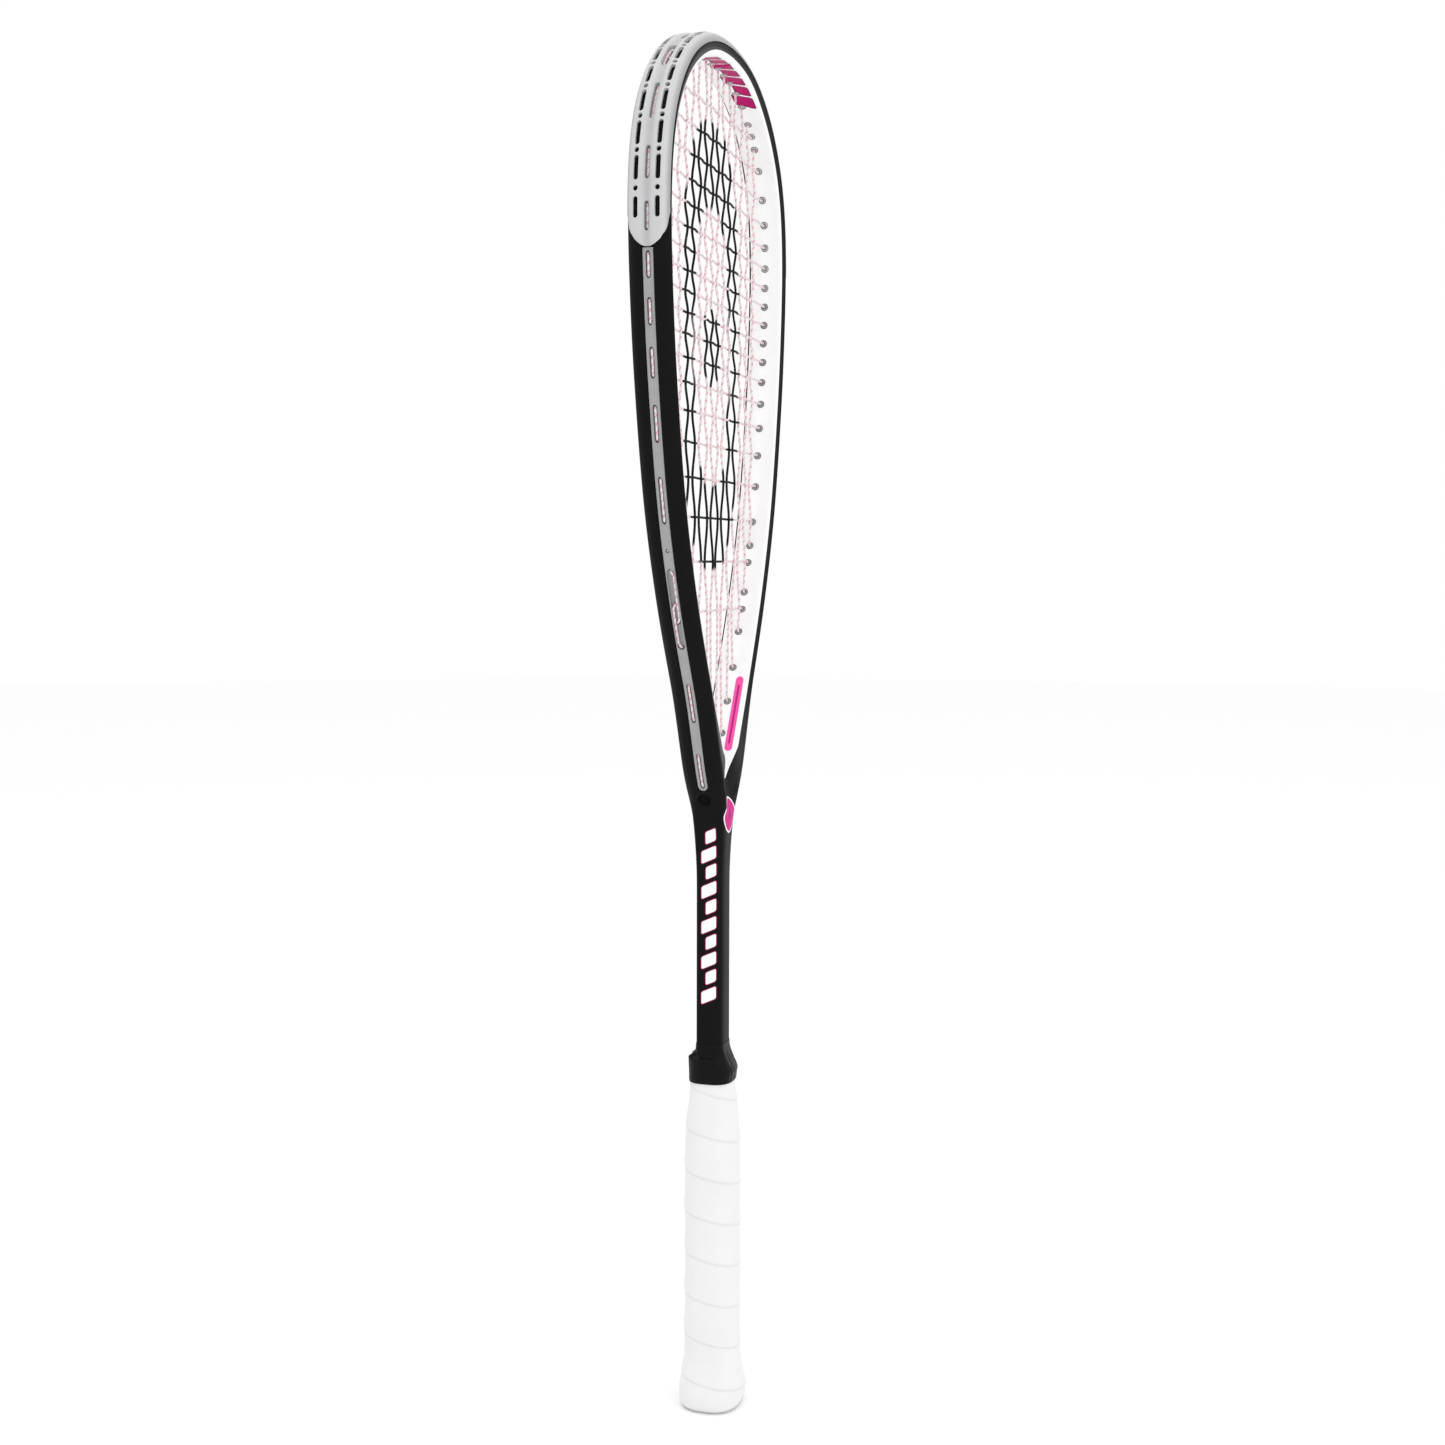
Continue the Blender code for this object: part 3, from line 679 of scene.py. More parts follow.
def nylon(name, low, high, roughness, subsurface, thin_and_shaded=None):
    """Moulded nylon: milky, with flow marks and a fine spark-eroded grain.

    The last argument is its colour along its edges and its middle: painted shade on its rounded edges
    and in the valley down its middle, and partly the black beam showing through where the nylon is thin.
    """
    constants = {"Subsurface_Weight": subsurface, "Subsurface_Scale": 0.0012}
    paint = Paint(name, Specular_IOR_Level=0.35, **constants)
    clouds = paint.noise(0.09, 4)
    grain = paint.noise(3.4, 3)
    colour = paint.mix((clouds + grain * 0.4) * 0.72, low, high)
    if thin_and_shaded:
        # painted shade: darker along its rounded edges and in the valley down its middle, partly also
        # the black beam showing through thin nylon
        y = abs(paint.parts(paint.place)[1])
        edge = paint.above(y, 9.0, 1.3) * 0.8
        middle = paint.below(y, 1.6, 1.5) * 0.3
        colour = paint.mix(paint.math("MAXIMUM", edge, middle), colour, thin_and_shaded)
    paint.colour(colour)
    paint.rough(roughness, 0.14, clouds)
    paint.bump(grain, 0.02, 0.45)
    paint.bump(paint.noise(0.8, stretch=(0.4, 1.0, 0.25)), 0.05, 0.3)
    return paint.material


def string_paint():
    """White multifilament with pink tracers wound round it, and a black stencil in the head."""
    coat = {"Coat_Weight": 0.02, "Coat_Roughness": 0.2}
    paint = Paint("multifilament_string", Specular_IOR_Level=0.1, **coat)
    x, y, z = paint.parts(paint.place)
    c, s, along = paint.parts(paint.stored("round", "Vector"))

    def wound(pitch):
        """1 on a thread that winds round the string, down to -1 on the string's other side."""
        phase = along * (math.tau / pitch)
        return c * paint.math("COSINE", phase) + s * paint.math("SINE", phase)

    colour = paint.mix(paint.noise(0.7), (0.82, 0.79, 0.785), (0.70, 0.665, 0.66))
    colour = paint.mix(paint.above(wound(3.6), 0.72, 0.14) * 0.6, colour, (0.66, 0.10, 0.19))
    colour = paint.mix(paint.above(wound(-4.5), 0.84, 0.1) * 0.5, colour, (0.74, 0.20, 0.27))

    u = x - STENCIL_AT[0]
    v = z - STENCIL_AT[1]
    ring = abs(u / RING_HALF[0]) ** RING_POWER + abs(v / RING_HALF[1]) ** RING_POWER
    ring = paint.below(abs(ring ** (1 / RING_POWER) - 1.0), RING_SHARE, 0.012)
    spot = paint.below(paint.length(u / SPOT_HALF[0], v / SPOT_HALF[1]), 1.0, 0.03)
    bed = paint.below(abs(y), 5.0, 0.1)
    ink = paint.math("MAXIMUM", ring, spot) * bed
    worn = paint.below(paint.noise(1.4, 3), 0.72, 0.05)
    paint.colour(paint.mix(ink * worn, colour, (0.006, 0.006, 0.007)))
    paint.rough(0.34, 0.26, ink)
    paint.bump(paint.math("SINE", wound(-9.0) * 14.0), 0.02, 0.5)
    return paint.material


def grip_paint():
    """White tacky polyurethane with a fine leather grain and scattered tiny pores, and a painted shadow
    line along each overlapping edge of the wrap.
    """
    paint = Paint("white_grip_wrap", Specular_IOR_Level=0.3, Sheen_Weight=0.12, Sheen_Roughness=0.5)
    clouds = paint.noise(0.05, 3)
    colour = paint.mix(clouds, (0.82, 0.82, 0.82), (0.765, 0.765, 0.768))
    # painted shadow: a grey line along each overlapping edge of the wrap, where shade falls under the
    # step
    paint.colour(paint.mix(paint.stored("seam") * 0.28, colour, (0.54, 0.54, 0.545)))
    paint.rough(0.52, 0.12, clouds)
    paint.bump(paint.cells(1.3, feature="SMOOTH_F1"), 0.035, 0.4)
    paint.bump(paint.noise(0.35, 4, 0.6), 0.12, 0.35)
    return paint.material


def tape_paint():
    """Black stretched vinyl tape: creases along the handle and dull patches."""
    paint = Paint("black_vinyl_tape", Specular_IOR_Level=0.1)
    creases = paint.noise(0.5, 4, 0.6, stretch=(1.0, 1.0, 0.25))
    paint.colour(paint.mix(creases, (0.0018, 0.0018, 0.002), (0.005, 0.005, 0.005)))
    paint.rough(0.3, 0.2, paint.noise(0.3, 3))
    paint.bump(creases, 0.25, 0.5)
    paint.bump(paint.noise(2.5), 0.02, 0.4)
    return paint.material


def foam_paint():
    """Rigid tan foam with cells."""
    paint = Paint("pallet_foam", Specular_IOR_Level=0.2, Roughness=0.9)
    cells = paint.cells(2.2)
    colour = paint.mix(paint.noise(0.1, 3), (0.58, 0.50, 0.36), (0.47, 0.40, 0.29))
    paint.colour(paint.mix(cells * 0.5, colour, (0.35, 0.29, 0.2)))
    paint.bump(cells, 0.15, 0.6)
    return paint.material


def cap_paint():
    """White moulded plastic with scuffs."""
    paint = Paint("butt_cap_plastic", Specular_IOR_Level=0.4)
    scuffs = paint.noise(0.6, 4, stretch=(1.0, 0.2, 1.0))
    paint.colour(paint.mix(scuffs, (0.84, 0.84, 0.84), (0.74, 0.74, 0.74)))
    paint.rough(0.38, 0.25, scuffs)
    paint.bump(paint.noise(2.2, 3), 0.03, 0.4)
    return paint.material


def steel_paint():
    """Drawn wire."""
    paint = Paint("staple_wire_steel", Metallic=1.0)
    drawn = paint.noise(2.0, 3, stretch=(0.3, 3.0, 3.0))
    paint.colour(paint.mix(drawn, (0.62, 0.62, 0.61), (0.42, 0.42, 0.42)))
    paint.rough(0.25, 0.25, drawn)
    return paint.material


def rubber_paint():
    """Dark foam rubber."""
    paint = Paint("plug_foam_rubber", Specular_IOR_Level=0.25, Roughness=0.85)
    cells = paint.noise(1.8, 4)
    paint.colour(paint.mix(cells, (0.03, 0.03, 0.03), (0.07, 0.07, 0.068)))
    paint.bump(cells, 0.12, 0.5)
    return paint.material


# ---- string pattern
def cross_height(k):
    """The crosses lie evenly in the middle of the head and further apart towards its ends."""
    steps = k - MIDDLE_CROSS
    return MIDDLE_CROSS_Z - CROSS_PITCH * steps - CROSS_SPREAD[steps > 0] * steps**3


def main_ends(i):
    """x of a main at the throat and at the top."""
    return [first + pitch * i + growth * i**power for first, pitch, growth, power in MAIN_FANS]


CROSS_STATIONS = [station_at_height(cross_height(k)) for k in range(1, CROSSES + 1)]
MAIN_LOW = [station_below(main_ends(i)[0]) for i in range(MAINS)]
MAIN_HIGH = [station_above(main_ends(i)[1]) for i in range(MAINS)]
HALF_HOLES = CROSS_STATIONS + MAIN_LOW + MAIN_HIGH
ALL_HOLES = [side * s for s in HALF_HOLES for side in (-1, 1)]


def crowded(start, stop):
    """Whether another string comes out between two holes."""
    low, high = sorted((start, stop))
    return any(low + 0.5 < s < high - 0.5 for s in ALL_HOLES)


def string_end(station, outside):
    """Where a string leaves its hole, at the hoop's outside or its inside."""
    out = face_at(station) - LOOP_DEPTH if outside else MOUTH
    return np.array(hoop_point(station, out, 0))


def loop(start, stop, side):
    """The string's way along the channel between two holes."""
    bend = LOOP_START * math.copysign(1, stop - start)
    first, last = start + bend, stop - bend
    count = max(2, math.ceil(abs(last - first) / 6) + 1)
    y = side * (LOOP_SIDE if crowded(start, stop) else LOOP_ASIDE)
    return [np.array(hoop_point(s, face_at(s) - LOOP_DEPTH, y)) for s in np.linspace(first, last, count)]


def main_line(i, side):
    """The ends of a main inside the hoop."""
    return string_end(side * MAIN_LOW[i], False), string_end(side * MAIN_HIGH[i], False)


def over(k, i, side):
    """1 where cross k passes behind main i, towards +Y, and -1 where it passes in front."""
    column = i if side > 0 else -1 - i
    return 1 if (k + column) % 2 else -1


def woven(start, stop, crossings):
    """A line that swings between its crossings, each (share of the way, sign)."""
    knots = [(0.0, 0.0)] + sorted(crossings) + [(1.0, 0.0)]
    points = []
    for (t0, y0), (t1, y1) in zip(knots, knots[1:]):
        for step in np.arange(6) / 6:
            swing = y0 + (y1 - y0) * (1 - math.cos(math.pi * step)) / 2
            point = start + (stop - start) * (t0 + (t1 - t0) * step)
            points.append(point + np.array([0, swing * WEAVE, 0]))
    return points + [stop]


def main_run(i, side):
    low, high = main_line(i, side)
    crossings = []
    for k in range(1, CROSSES + 1):
        t = (cross_height(k) - low[2]) / (high[2] - low[2])
        if 0.01 < t < 0.99:
            crossings.append((t, -over(k, i, side)))
    return woven(low, high, crossings)


def cross_run(k):
    station = CROSS_STATIONS[k - 1]
    left, right = string_end(-station, False), string_end(station, False)
    crossings = []
    for i in range(MAINS):
        for side in (-1, 1):
            low, high = main_line(i, side)
            t = (left[2] - low[2]) / (high[2] - low[2])
            if 0.01 < t < 0.99:
                x = low[0] + (high[0] - low[0]) * t
                crossings.append(((x - left[0]) / (right[0] - left[0]), over(k, i, side)))
    return woven(left, right, crossings)


def rounded(points, radius):
    """Rounds the corners of a polyline."""
    result = [points[0]]
    for before, corner, after in zip(points, points[1:], points[2:]):
        a, b = before - corner, after - corner
        la, lb = np.linalg.norm(a), np.linalg.norm(b)
        if la < 1e-6 or lb < 1e-6:
            continue
        if float(a @ b) / (la * lb) < -0.94:
            result.append(corner)
            continue
        cut_a, cut_b = min(radius, 0.48 * la), min(radius, 0.48 * lb)
        first, last = corner + a / la * cut_a, corner + b / lb * cut_b
        for t in np.linspace(0, 1, 6):
            result.append((1 - t) ** 2 * first + 2 * t * (1 - t) * corner + t**2 * last)
    return result + [points[-1]]


def laced(runs, side):
    """One string through runs, each (points, station at its start, station at its end).

    Every second run is taken backwards. The result is the string's route and the pairs of
    stations between which it lies in the channel.
    """
    ways = []
    for number, (points, start, stop) in enumerate(runs):
        ways.append((points[::-1], stop, start) if number % 2 else (points, start, stop))
    route = []
    last = None
    for points, start, stop in ways:
        if last is not None:
            route += loop(last, start, side)
        route += [string_end(start, True)] + points + [string_end(stop, True)]
        last = stop
    return rounded(route, BEND_RADIUS), [(a[2], b[1]) for a, b in zip(ways, ways[1:])]


def main_route():
    order = [(i, -1) for i in reversed(range(MAINS))] + [(i, 1) for i in range(MAINS)]
    return laced([(main_run(i, side), side * MAIN_LOW[i], side * MAIN_HIGH[i]) for i, side in order], 1)


def cross_route():
    return laced([(cross_run(k), -s, s) for k, s in enumerate(CROSS_STATIONS, start=1)], -1)


def make_string(name, node, points, material):
    """A round string through points, which stores where each of its points is round and along it."""
    sides = 10
    points = np.array(points, float)
    keep = np.concatenate([[True], np.linalg.norm(np.diff(points, axis=0), axis=1) > 0.02])
    points = points[keep]
    tangents = np.gradient(points, axis=0)
    tangents /= np.linalg.norm(tangents, axis=1)[:, None]
    normal = np.cross(tangents[0], (0.0, 1.0, 0.0))
    angles = math.tau * np.arange(sides) / sides
    verts, stored = [], []
    for point, tangent, at in zip(points, tangents, lengths_along(points)):
        normal = normal - tangent * (normal @ tangent)
        normal /= np.linalg.norm(normal)
        side = np.cross(tangent, normal)
        for angle in angles:
            c, s = math.cos(angle), math.sin(angle)
            verts.append(point + STRING_RADIUS * (c * normal + s * side))
            stored.append((c, s, at))
    obj = loft(name, np.array(verts).reshape(len(points), sides, 3), material)
    store(obj, "round", stored, "FLOAT_VECTOR")
    obj.data.shade_smooth()
    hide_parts(node)
    return obj


# ---- frame
def inner_share(length):
    """The inner edge's share of the beam's depth. The beam tapers towards it, most in the crotch."""
    return float(0.62 + 0.25 * smoothstep(length, 0, 16))


def curved(steer, steps):
    """A rounded corner's points, as tuples, without its first one."""
    return [tuple(p) for p in spline(steer, steps)[1:]]


def arm_front(width, depth, share):
    """Front half of the hoop's section from the middle of its inner face: (out, y)."""
    edge = share - 0.08
    face_out = width - FACE_TO_SIDE
    inner = [(-0.15 * (1 - (y / edge) ** 2), y * depth) for y in np.linspace(0, -edge, 9)]
    corner = curved([
        (0, -(edge - 0.1) * depth), (0, -edge * depth), (0.35, -(share - 0.03) * depth),
        (1.2, -share * depth), (2.6, -(share + 0.3 * (1 - share)) * depth),
    ], 3)
    outs, shares = np.linspace(1.2, face_out, 4), np.linspace(-share, -1, 4)
    face = [(out, y * depth) for out, y in zip(outs[1:], shares[1:])]
    rounding = curved([
        (width - 6.5, -depth), *reversed(side_rounding(width, -depth)), (width - 0.34, -0.47 * depth),
        (width - EDGE_DROP, -CHANNEL_HALF), (width - EDGE_DROP + 0.02, -0.5),
    ], 4)
    side = [(width - EDGE_DROP, y) for y in np.linspace(-CHANNEL_HALF, 0, 5)[1:]]
    return np.array(inner + corner + face + rounding + side)


def shaft_front(width, depth):
    """The same for the shaft's right half, from the middle of the shaft."""
    inner = [(0, y * depth) for y in np.linspace(0, -1, 9)]
    corner = [(share * width, -depth) for share in np.linspace(0, 0.1, 7)[1:]]
    near, far = (0.38 * width, -0.995 * depth), (0.52 * width, -0.985 * depth)
    rounding = curved([
        near, far, (0.76 * width, -0.93 * depth), (0.92 * width, -0.81 * depth),
        (0.985 * width, -0.62 * depth), (width, -0.38 * depth), (width, -0.2 * depth),
    ], 4)
    side = [(width, y * depth) for y in np.linspace(-0.38, 0, 5)[1:]]
    return np.array(inner + corner + [(0.24 * width, -depth), near, far] + rounding + side)


def crotch_lift(length, out, width):
    """Fills the bottom of the V between the arms."""
    x = edge_point(length)[0]
    if x >= CROTCH_ROUND:
        return 0.0
    rise = CROTCH_SLOPE * (x**2 / (2 * CROTCH_ROUND) + CROTCH_ROUND / 2 - x)
    return rise * np.clip(1 - out / (0.6 * width), 0, 1) ** 2


def arm_ring(length, rounded_inside=True):
    width, depth = beam_width(length), half_depth(edge_point(length)[1])
    front = arm_front(width, depth, inner_share(length))
    if not rounded_inside:
        front[:9] = [(0, y) for y in np.linspace(0, front[14, 1], 9)]
        front[9:15] = [(out, front[14, 1]) for out in np.linspace(0, 1.2, 7)[1:]]
    section = mirrored(front)
    ring = np.array([hoop_point(ARM - length, out, y) for out, y in section])
    ring[:, 2] += crotch_lift(length, section[:, 0], width)
    ring[:, 0] = np.maximum(ring[:, 0], 0)
    return ring


def shaft_ring(z, half_width, outer_z):
    section = mirrored(shaft_front(half_width, half_depth(z)))
    lean = (outer_z - z) / half_width
    return np.array([(out, y, z + lean * out) for out, y in section])


def frame_rings():
    """Rings of the frame's right half from the shaft's bottom to the top, and where the arm starts."""
    keys = [shaft_ring(z, SHAFT_HALF_WIDTH, z) for z in (200.0, 235.0)]
    keys += [shaft_ring(z, half_width, outer_z) for z, half_width, outer_z in reversed(THROAT)]
    keys += [arm_ring(0.0, False), arm_ring(14.0, False)]
    throat = spline(keys, 8)
    throat[:, :, 0] = np.maximum(throat[:, :, 0], 0)
    shaft = [shaft_ring(z, SHAFT_HALF_WIDTH, z) for z in np.linspace(SHAFT_BOTTOM, 225.0, 12)]
    lengths = np.concatenate([np.linspace(0, 30, 21), np.linspace(30, ARM, 190)[1:]])
    rings = np.array(shaft + list(throat) + [arm_ring(length) for length in lengths])
    return rings, len(shaft) + len(throat)


def make_frame():
    rings, arm_start = frame_rings()
    columns = rings.shape[1]
    flat = rings.reshape(-1, 3)
    faces, indices = [], []
    for face in skin(rings, "open"):
        if max(flat[i][0] for i in face) < 1e-6:
            continue
        faces.append(face)
        column = face[0] % columns
        inner = column < FRONT_COLUMNS or columns - 1 - column < INNER_COLUMNS
        indices.append(1 if inner and face[0] >= arm_start * columns else 0)
    count = len(flat)
    left = [tuple(i + count for i in reversed(face)) for face in faces]
    bottom = tuple(range(columns))
    ends = [tuple(reversed(bottom)), tuple(i + count for i in bottom)]
    verts = np.concatenate([flat, flat * (-1, 1, 1)])
    paints = [outside_paint(), inside_paint()]
    obj = piece_from("frame_moulding", verts, faces + left + ends, paints, indices * 2 + [0, 0])

    reach = ARM - CHANNEL_END
    cut(obj, [stadium(-reach, reach, 0, CHANNEL_HALF, -CHANNEL_DEPTH, CUT_ABOVE)])
    cut(obj, drills(ALL_HOLES, -3.0, -1.2, HOLE_RADIUS, 20))
    lift = DIMPLE_BALL - DIMPLE_DEPTH
    x, y, z = DIMPLE
    cut(obj, [ball((side * (x + lift * 0.97), y, z - lift * 0.24), DIMPLE_BALL) for side in (-1, 1)])
    store_along(obj)
    smooth(obj, 34)
    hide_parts("frame")
    return obj


# ---- strips and bumper
def windows(loops, low, high):
    """Stretches of the channel in which strings lie: (start, stop, crowded), within two stations."""
    spans = sorted((min(a, b) - POCKET_MARGIN, max(a, b) + POCKET_MARGIN, crowded(a, b))
                   for a, b in loops)
    merged = []
    for start, stop, busy in spans:
        if merged and start < merged[-1][1] + 1.0:
            merged[-1] = [merged[-1][0], max(stop, merged[-1][1]), True]
        else:
            merged.append([start, stop, busy])
    return [span for span in merged if low < (span[0] + span[1]) / 2 < high]


def add_grommets(obj, loops, low, high, stations):
    """Cuts the windows between two stations and gives each hole its bore and its barrel."""
    shells = []
    for start, stop, busy in windows(loops, low, high):
        half = POCKET_HALF_WIDE if busy else POCKET_HALF
        shells.append(stadium(start, stop, 0, half, -POCKET_DEPTH, CUT_ABOVE))
    cut(obj, shells)
    cut(obj, drills(stations, BORE_START, 1.0, BORE_RADIUS, 16))
    add_shells(obj, [barrel(s) for s in stations])
    store_along(obj)
    smooth(obj)


def strip_ring(station):
    face = face_at(station)
    floor = face - CHANNEL_DEPTH + GAP
    into = min(ARM - STRIP_START - abs(station), STRIP_HALF)
    half = STRIP_HALF * math.sqrt(max(1 - (1 - into / STRIP_HALF) ** 2, 1e-3))
    front = [
        (floor, 0), (floor, -half), (face - 0.35, -half), (face - 0.08, -half + 0.1 * half),
        (face, -half + 0.16 * half), (face - 0.04, -half + 0.3 * half),
        (face - 0.16, -half + 0.36 * half), (face - 0.16, 0),
    ]
    return [hoop_point(station, out, y) for out, y in mirrored(np.array(front))]


def make_strip(name, side, material, loops):
    top = station_at_height(STRIP_TOP)
    low = ARM - STRIP_START
    ends = low - STRIP_HALF * (1 - np.cos(np.linspace(0.25, math.pi / 2, 7)))
    stations = np.concatenate([ends, np.linspace(ends[-1] - 2, top, 90)])
    strip = loft(name, [strip_ring(side * s) for s in stations], material)
    mine = [(a, b) for a, b in loops if a * side > 0 and b * side > 0]
    inside = [side * s for s in HALF_HOLES if s > top]
    add_grommets(strip, mine, *sorted((side * top, side * ARM)), inside)
    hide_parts("grommet_" + name)
    return strip


def wing(station):
    """Half the guard's reach across the beam: it narrows to a tongue at its ends."""
    return float(np.interp(abs(station), WING_OUTLINE[:, 0], WING_OUTLINE[:, 1]))


def bumper_rise(station):
    top = smoothstep(BUMPER_THINNEST - abs(station), 0, BUMPER_THINNEST * 0.8)
    end = smoothstep(BUMPER_TONGUE_END + 1 - abs(station), 0, 9.0)
    return float(BUMPER_RISE_END + (BUMPER_RISE - BUMPER_RISE_END) * top) * (0.35 + 0.65 * float(end))


def bumper_path(station):
    """Half the beam's outer skin under the guard, from its middle to the guard's edge: (out, y)."""
    width, depth = width_at(station), BEAM_HALF_DEPTH
    end = width - LIP - 0.4 * float(1 - smoothstep(abs(station), 20, 70))
    steer = [
        (width - EDGE_DROP, -2.0), (width - EDGE_DROP, 0), (width - EDGE_DROP, CHANNEL_HALF),
        *side_rounding(width, depth), (width - 6.5, 0.93 * depth), (width - 8.0, 0.89 * depth),
    ]
    path = spline(steer, 8)
    reach = wing(station)
    if reach < BUMPER_FULL:
        path = path[:int(np.argmax(path[:, 1] >= reach))]
        last = [outer_face(reach, width), reach]
    else:
        last = [end, np.interp(-end, -path[:, 0], path[:, 1])]
        path = path[path[:, 0] > end + 0.05]
    return resampled(np.vstack([path, last]), 26)


def bumper_ring(station):
    path = bumper_path(station)
    along = np.gradient(path, axis=0)
    normal = np.stack([along[:, 1], -along[:, 0]], 1)
    normal /= np.linalg.norm(normal, axis=1)[:, None]
    shares = np.linspace(0, 1, len(path))
    bulge = np.interp(shares, *zip(*BUMPER_SECTION))
    flat = (1 - float(smoothstep(wing(station), 3, 9.4))) * (1 - smoothstep(shares, 0.5, 0.95))
    bulge = bulge + (0.9 - bulge) * flat
    outer = path + normal * (BUMPER_CLEAR + 0.12 + bumper_rise(station) * bulge)[:, None]
    floor = face_at(station) - CHANNEL_DEPTH + GAP
    edge = min(STRIP_HALF, path[-1, 1] * 0.8)
    lining = (path + normal * BUMPER_CLEAR)[path[:, 1] > edge]
    ring = np.vstack([[(floor, 0), (floor, edge)], resampled(lining, 12), outer[::-1]]) * (1, -1)
    return [hoop_point(station, out, y) for out, y in mirrored(ring)]


def slot_shells():
    """The rows of slots with round holes between them, through both wings."""
    slots = [(number * SLOT_PITCH, SLOT_LENGTH) for number in range(-SLOT_SPAN, SLOT_SPAN + 1)]
    slots = [(-SLOT_LAST, SLOT_SHORT)] + slots + [(SLOT_LAST, SLOT_SHORT)]
    dots = []
    for (low, low_length), (high, high_length) in zip(slots, slots[1:]):
        dots.append(((low + low_length / 2 + high - high_length / 2) / 2, 2 * SLOT_HALF))
    shells = []
    for row in (-1, 1):
        for middle, length in slots + dots:
            out = row * (SLOT_OUT + 0.9 * float(smoothstep(80 - abs(middle), 0, 60)))
            shells.append(stadium(middle - length / 2, middle + length / 2, out, SLOT_HALF, -2.5, 4.0))
    return shells


def make_bumper(material, loops):
    last = BUMPER_TONGUE_END
    ends = np.concatenate([[0.02], np.linspace(0.35, 14, 16)])
    half = np.concatenate([last - ends, np.linspace(last - 16, 0, 74)])
    stations = np.concatenate([-half, half[-2::-1]])
    bumper = loft("head_bumper", [bumper_ring(s) for s in stations], material)
    cut(bumper, slot_shells())
    mine = [(a, b) for a, b in loops if max(abs(a), abs(b)) < last + 2]
    inside = [side * s for s in HALF_HOLES if s < last for side in (-1, 1)]
    add_grommets(bumper, mine, -last, last, inside)
    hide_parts("bumper_guard")
    return bumper


# ---- handle
def swirl(ring, *factors):
    """Smooth noise at each point of a ring; factors scale its coordinates."""
    return np.array([noise.noise(Vector([c * f for c, f in zip(p, factors)])) for p in ring])


def wrap_turn(points):
    """How many turns of the tape lie below each point; whole numbers are its lower edges."""
    angle = np.arctan2(points[:, 1], points[:, 0]) % math.tau
    return (points[:, 2] - WRAP_PHASE) / WRAP_PITCH + (angle - WRAP_FACING) / math.tau


def wrapped_ring(z, half_width, half_depth):
    """The grip's outside at a height, with the step at each overlapping edge."""
    ring = oval(z, half_width, half_depth, ROUND_POWER, GRIP_SIDES)
    part = wrap_turn(ring) % 1.0
    lift = WRAP_STEP * (1 - smoothstep(part, 0.03, 0.42)) * smoothstep(part, 0, 0.022)
    sink = -0.16 * smoothstep(part, 0.93, 1.0) * (1 - smoothstep(part, 0.997, 1.0))
    fade = float(smoothstep(z, 2.0, 7.0)) * float(1 - smoothstep(z, 162.0, 168.0))
    wave = swirl(ring, 0.12, 0.12, 0.045) * 0.22
    grow = 1 + ((lift + sink) * fade + wave - 0.2) / np.hypot(ring[:, 0], ring[:, 1])
    ring[:, :2] *= grow[:, None]
    if z < 3.0:
        ring[:, :2] *= 1 - 0.06 * (1 - (z - 1.0) / 2.0) ** 2
    return ring


def make_grip(material):
    profile = open_spline(GRIP_OUTSIDE, 8)
    inner = [oval(z, 15.45, 13.85, ROUND_POWER, GRIP_SIDES) for z in (1.3, 2.4)]
    inner += [oval(z, a - GRIP_LAYER, b - GRIP_LAYER, ROUND_POWER, GRIP_SIDES)
              for z, a, b in GRIP_INSIDE]
    outer = []
    for z in np.concatenate([np.arange(1.0, 171.6, 0.75), [172.0]]):
        sizes = [np.interp(z, profile[:, 0], profile[:, k]) for k in (1, 2)]
        outer.append(wrapped_ring(z, *sizes))
    grip = loft("grip_wrap", inner + outer[::-1], material, "joined")
    co = points_of(grip)
    part = wrap_turn(co)
    off = np.abs(part - np.round(part)) * WRAP_PITCH
    # these values lay out the painted shadow line along each overlapping edge of the wrap
    store(grip, "seam", np.exp(-((off / 0.55) ** 2)) * smoothstep(co[:, 2], 5, 9))
    smooth(grip, 60)
    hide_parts("grip_tape")
    return grip


def tape_ring(z, shaft, sides):
    """The tape's outside at a height, between an oval on the grip and one on the shaft."""
    wide = oval(z, *TAPE_SIDE, 2.8, sides)
    slim = oval(z, *shaft, 5.0, sides)
    angle = np.arctan2(wide[:, 1], wide[:, 0])
    round_ring = np.stack([np.cos(angle), np.sin(angle), np.full(sides, z)], 1)
    rear = smoothstep(np.sin(angle), -0.95, -0.15)
    wobble = swirl(round_ring, 3, 3, 0.06)
    narrow = smoothstep(z + 1.6 * wobble, 174.0 + 8.2 * rear, 189.5 - 4.7 * rear)[:, None]
    ring = wide * (1 - narrow) + slim * narrow
    folds = swirl(round_ring, 7, 7, 0.09)
    bunch = np.exp(-(((z - 176.0) / 2.6) ** 2)) * (1 - rear) ** 2 * 0.8
    tail = np.abs(angle + math.pi * 0.97 - math.tau * (angle > 0))
    step = 0.22 * (1 - smoothstep(tail, 0.42, 0.5)) * (172.0 < z < 182.5)
    lift = 0.42 * np.maximum(folds, 0) + bunch + step + 0.12
    lift *= float(smoothstep(z, TAPE_LOW - 0.2, TAPE_LOW + 1.0) * 0.8 + 0.2)
    lift *= float(1 - 0.75 * smoothstep(z, TAPE_HIGH - 4, TAPE_HIGH))
    ring[:, :2] *= (1 + lift / np.hypot(ring[:, 0], ring[:, 1]))[:, None]
    return ring


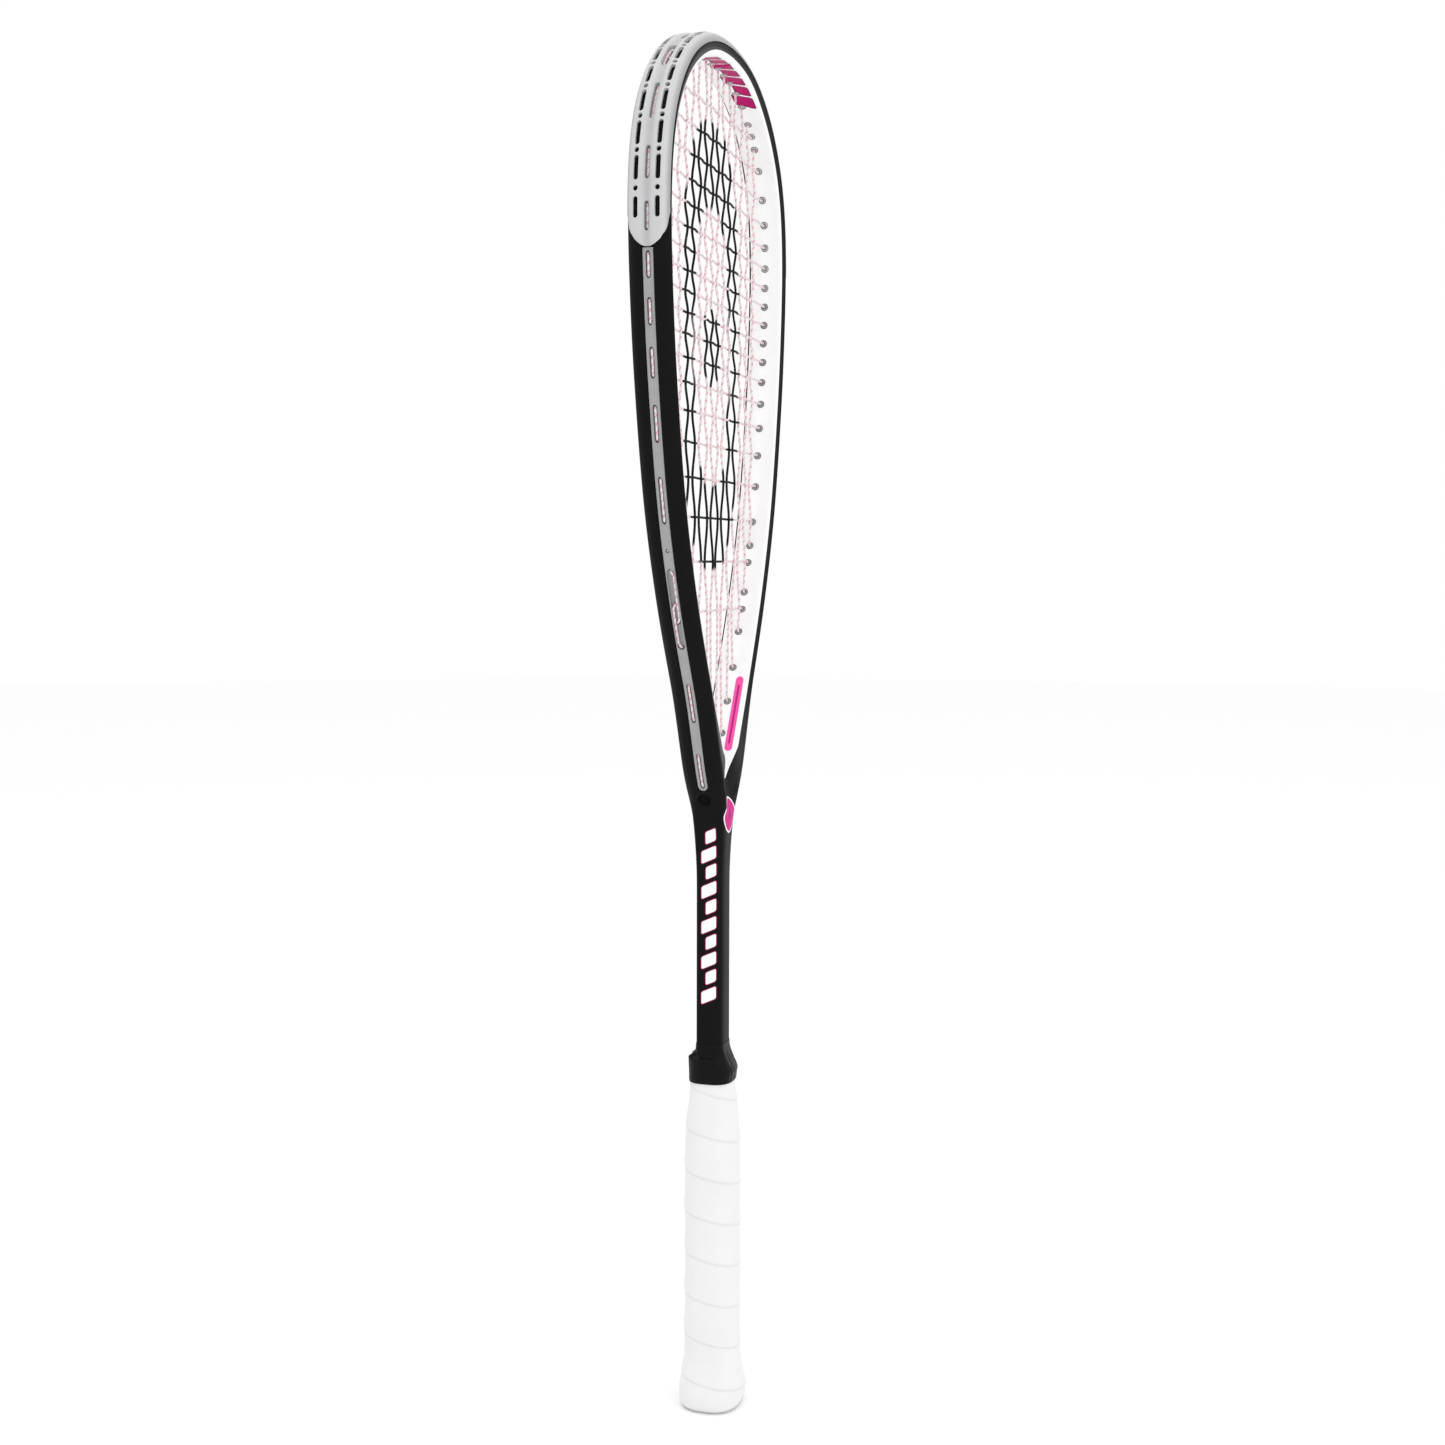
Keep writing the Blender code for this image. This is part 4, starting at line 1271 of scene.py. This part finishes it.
def make_tape(material):
    """The tape bridges the step from the grip to the shaft, bunched more on one side."""
    sides = 144
    shaft = (SHAFT_HALF_WIDTH + 0.12, SHAFT_HALF_DEPTH + 0.12)
    heights = np.concatenate([np.arange(TAPE_LOW, TAPE_HIGH, 0.5), [TAPE_HIGH]])
    outer = [tape_ring(z, shaft, sides) for z in heights]
    inner = [oval(z, *shaft, 5.0, sides) * (0.995, 0.995, 1) for z in (TAPE_LOW, 178.0, TAPE_HIGH)]
    tape = loft("closing_tape", inner + outer[::-1], material, "joined")
    smooth(tape, 50)
    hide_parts("finishing_tape")
    return tape


# ---- stage (metres, watts)
def make_camera():
    data = bpy.data.cameras.new("camera")
    data.lens = LENS
    data.sensor_width = SENSOR
    data.clip_start = 0.02
    camera = placed("camera", data)
    camera.matrix_world = (
        Matrix.Translation(CAMERA_AT)
        @ Matrix.Rotation(CAMERA_HEADING, 4, "Z")
        @ Matrix.Rotation(math.pi / 2 - CAMERA_PITCH, 4, "X")
        @ Matrix.Rotation(CAMERA_ROLL, 4, "Z")
    )
    bpy.context.scene.camera = camera


def add_area(name, at, side, power):
    """A square light that faces the middle of the racket."""
    data = bpy.data.lights.new(name, "AREA")
    data.shape = "SQUARE"
    data.size = side
    data.energy = power
    light = placed(name, data)
    light.location = at
    aim = Vector((0, 0, 0.4)) - Vector(at)
    light.rotation_euler = aim.to_track_quat("-Z", "Y").to_euler()


def make_stage():
    world = bpy.data.worlds.new("studio")
    world.use_nodes = True
    background = world.node_tree.nodes["Background"]
    background.inputs["Color"].default_value = (1, 1, 1, 1)
    background.inputs["Strength"].default_value = 1.0
    bpy.context.scene.world = world
    bpy.context.scene.view_settings.view_transform = "Standard"

    paper = Paint("pale_paper", Specular_IOR_Level=0.1, Roughness=0.9)
    paper.colour(paper.mix(paper.noise(0.02), (0.985, 0.985, 0.985), (0.975, 0.975, 0.975)))
    verts, faces = shell([circle(radius, 0, 48) for radius in (50, 400, 1500, 6000)], "open")
    floor = piece_from("floor", verts, faces + [tuple(range(48))], [paper.material])

    add_area("key", (-1.2, -1.9, 1.5), side=1.4, power=9)
    add_area("top", (-0.3, 0.2, 2.2), side=1.2, power=4)


# ---- build
def main():
    make_camera()
    make_stage()
    main_points, main_loops = main_route()
    cross_points, cross_loops = cross_route()
    loops = main_loops + cross_loops

    # the guard's last colour is painted shade along its edges and middle, partly the black beam showing
    # through thin nylon
    bumper_nylon = nylon("bumper_nylon", (0.49, 0.495, 0.50), (0.62, 0.625, 0.63), 0.36, 0.1,
                         thin_and_shaded=(0.24, 0.245, 0.25))
    strip_nylon = nylon("strip_nylon", (0.26, 0.26, 0.265), (0.40, 0.40, 0.405), 0.4, 0.05)
    string = string_paint()
    pieces = [
        make_frame(),
        make_bumper(bumper_nylon, loops),
        make_strip("strip_left", -1, strip_nylon, loops),
        make_strip("strip_right", 1, strip_nylon, loops),
        make_string("strung_mains", "main_string", main_points, string),
        make_string("strung_crosses", "cross_string", cross_points, string),
        make_grip(grip_paint()),
        make_tape(tape_paint()),
    ]
    for piece in pieces:
        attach(piece, "root")

    foam, steel = foam_paint(), steel_paint()
    carried = {
        "handle_pallet_front": foam, "handle_pallet_rear": foam, "butt_cap": cap_paint(),
        "butt_cap_staple_front": steel, "butt_cap_staple_rear": steel, "shaft_end_plug": rubber_paint(),
    }
    for node, material in carried.items():
        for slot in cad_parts[node].material_slots:
            slot.material = material


main()
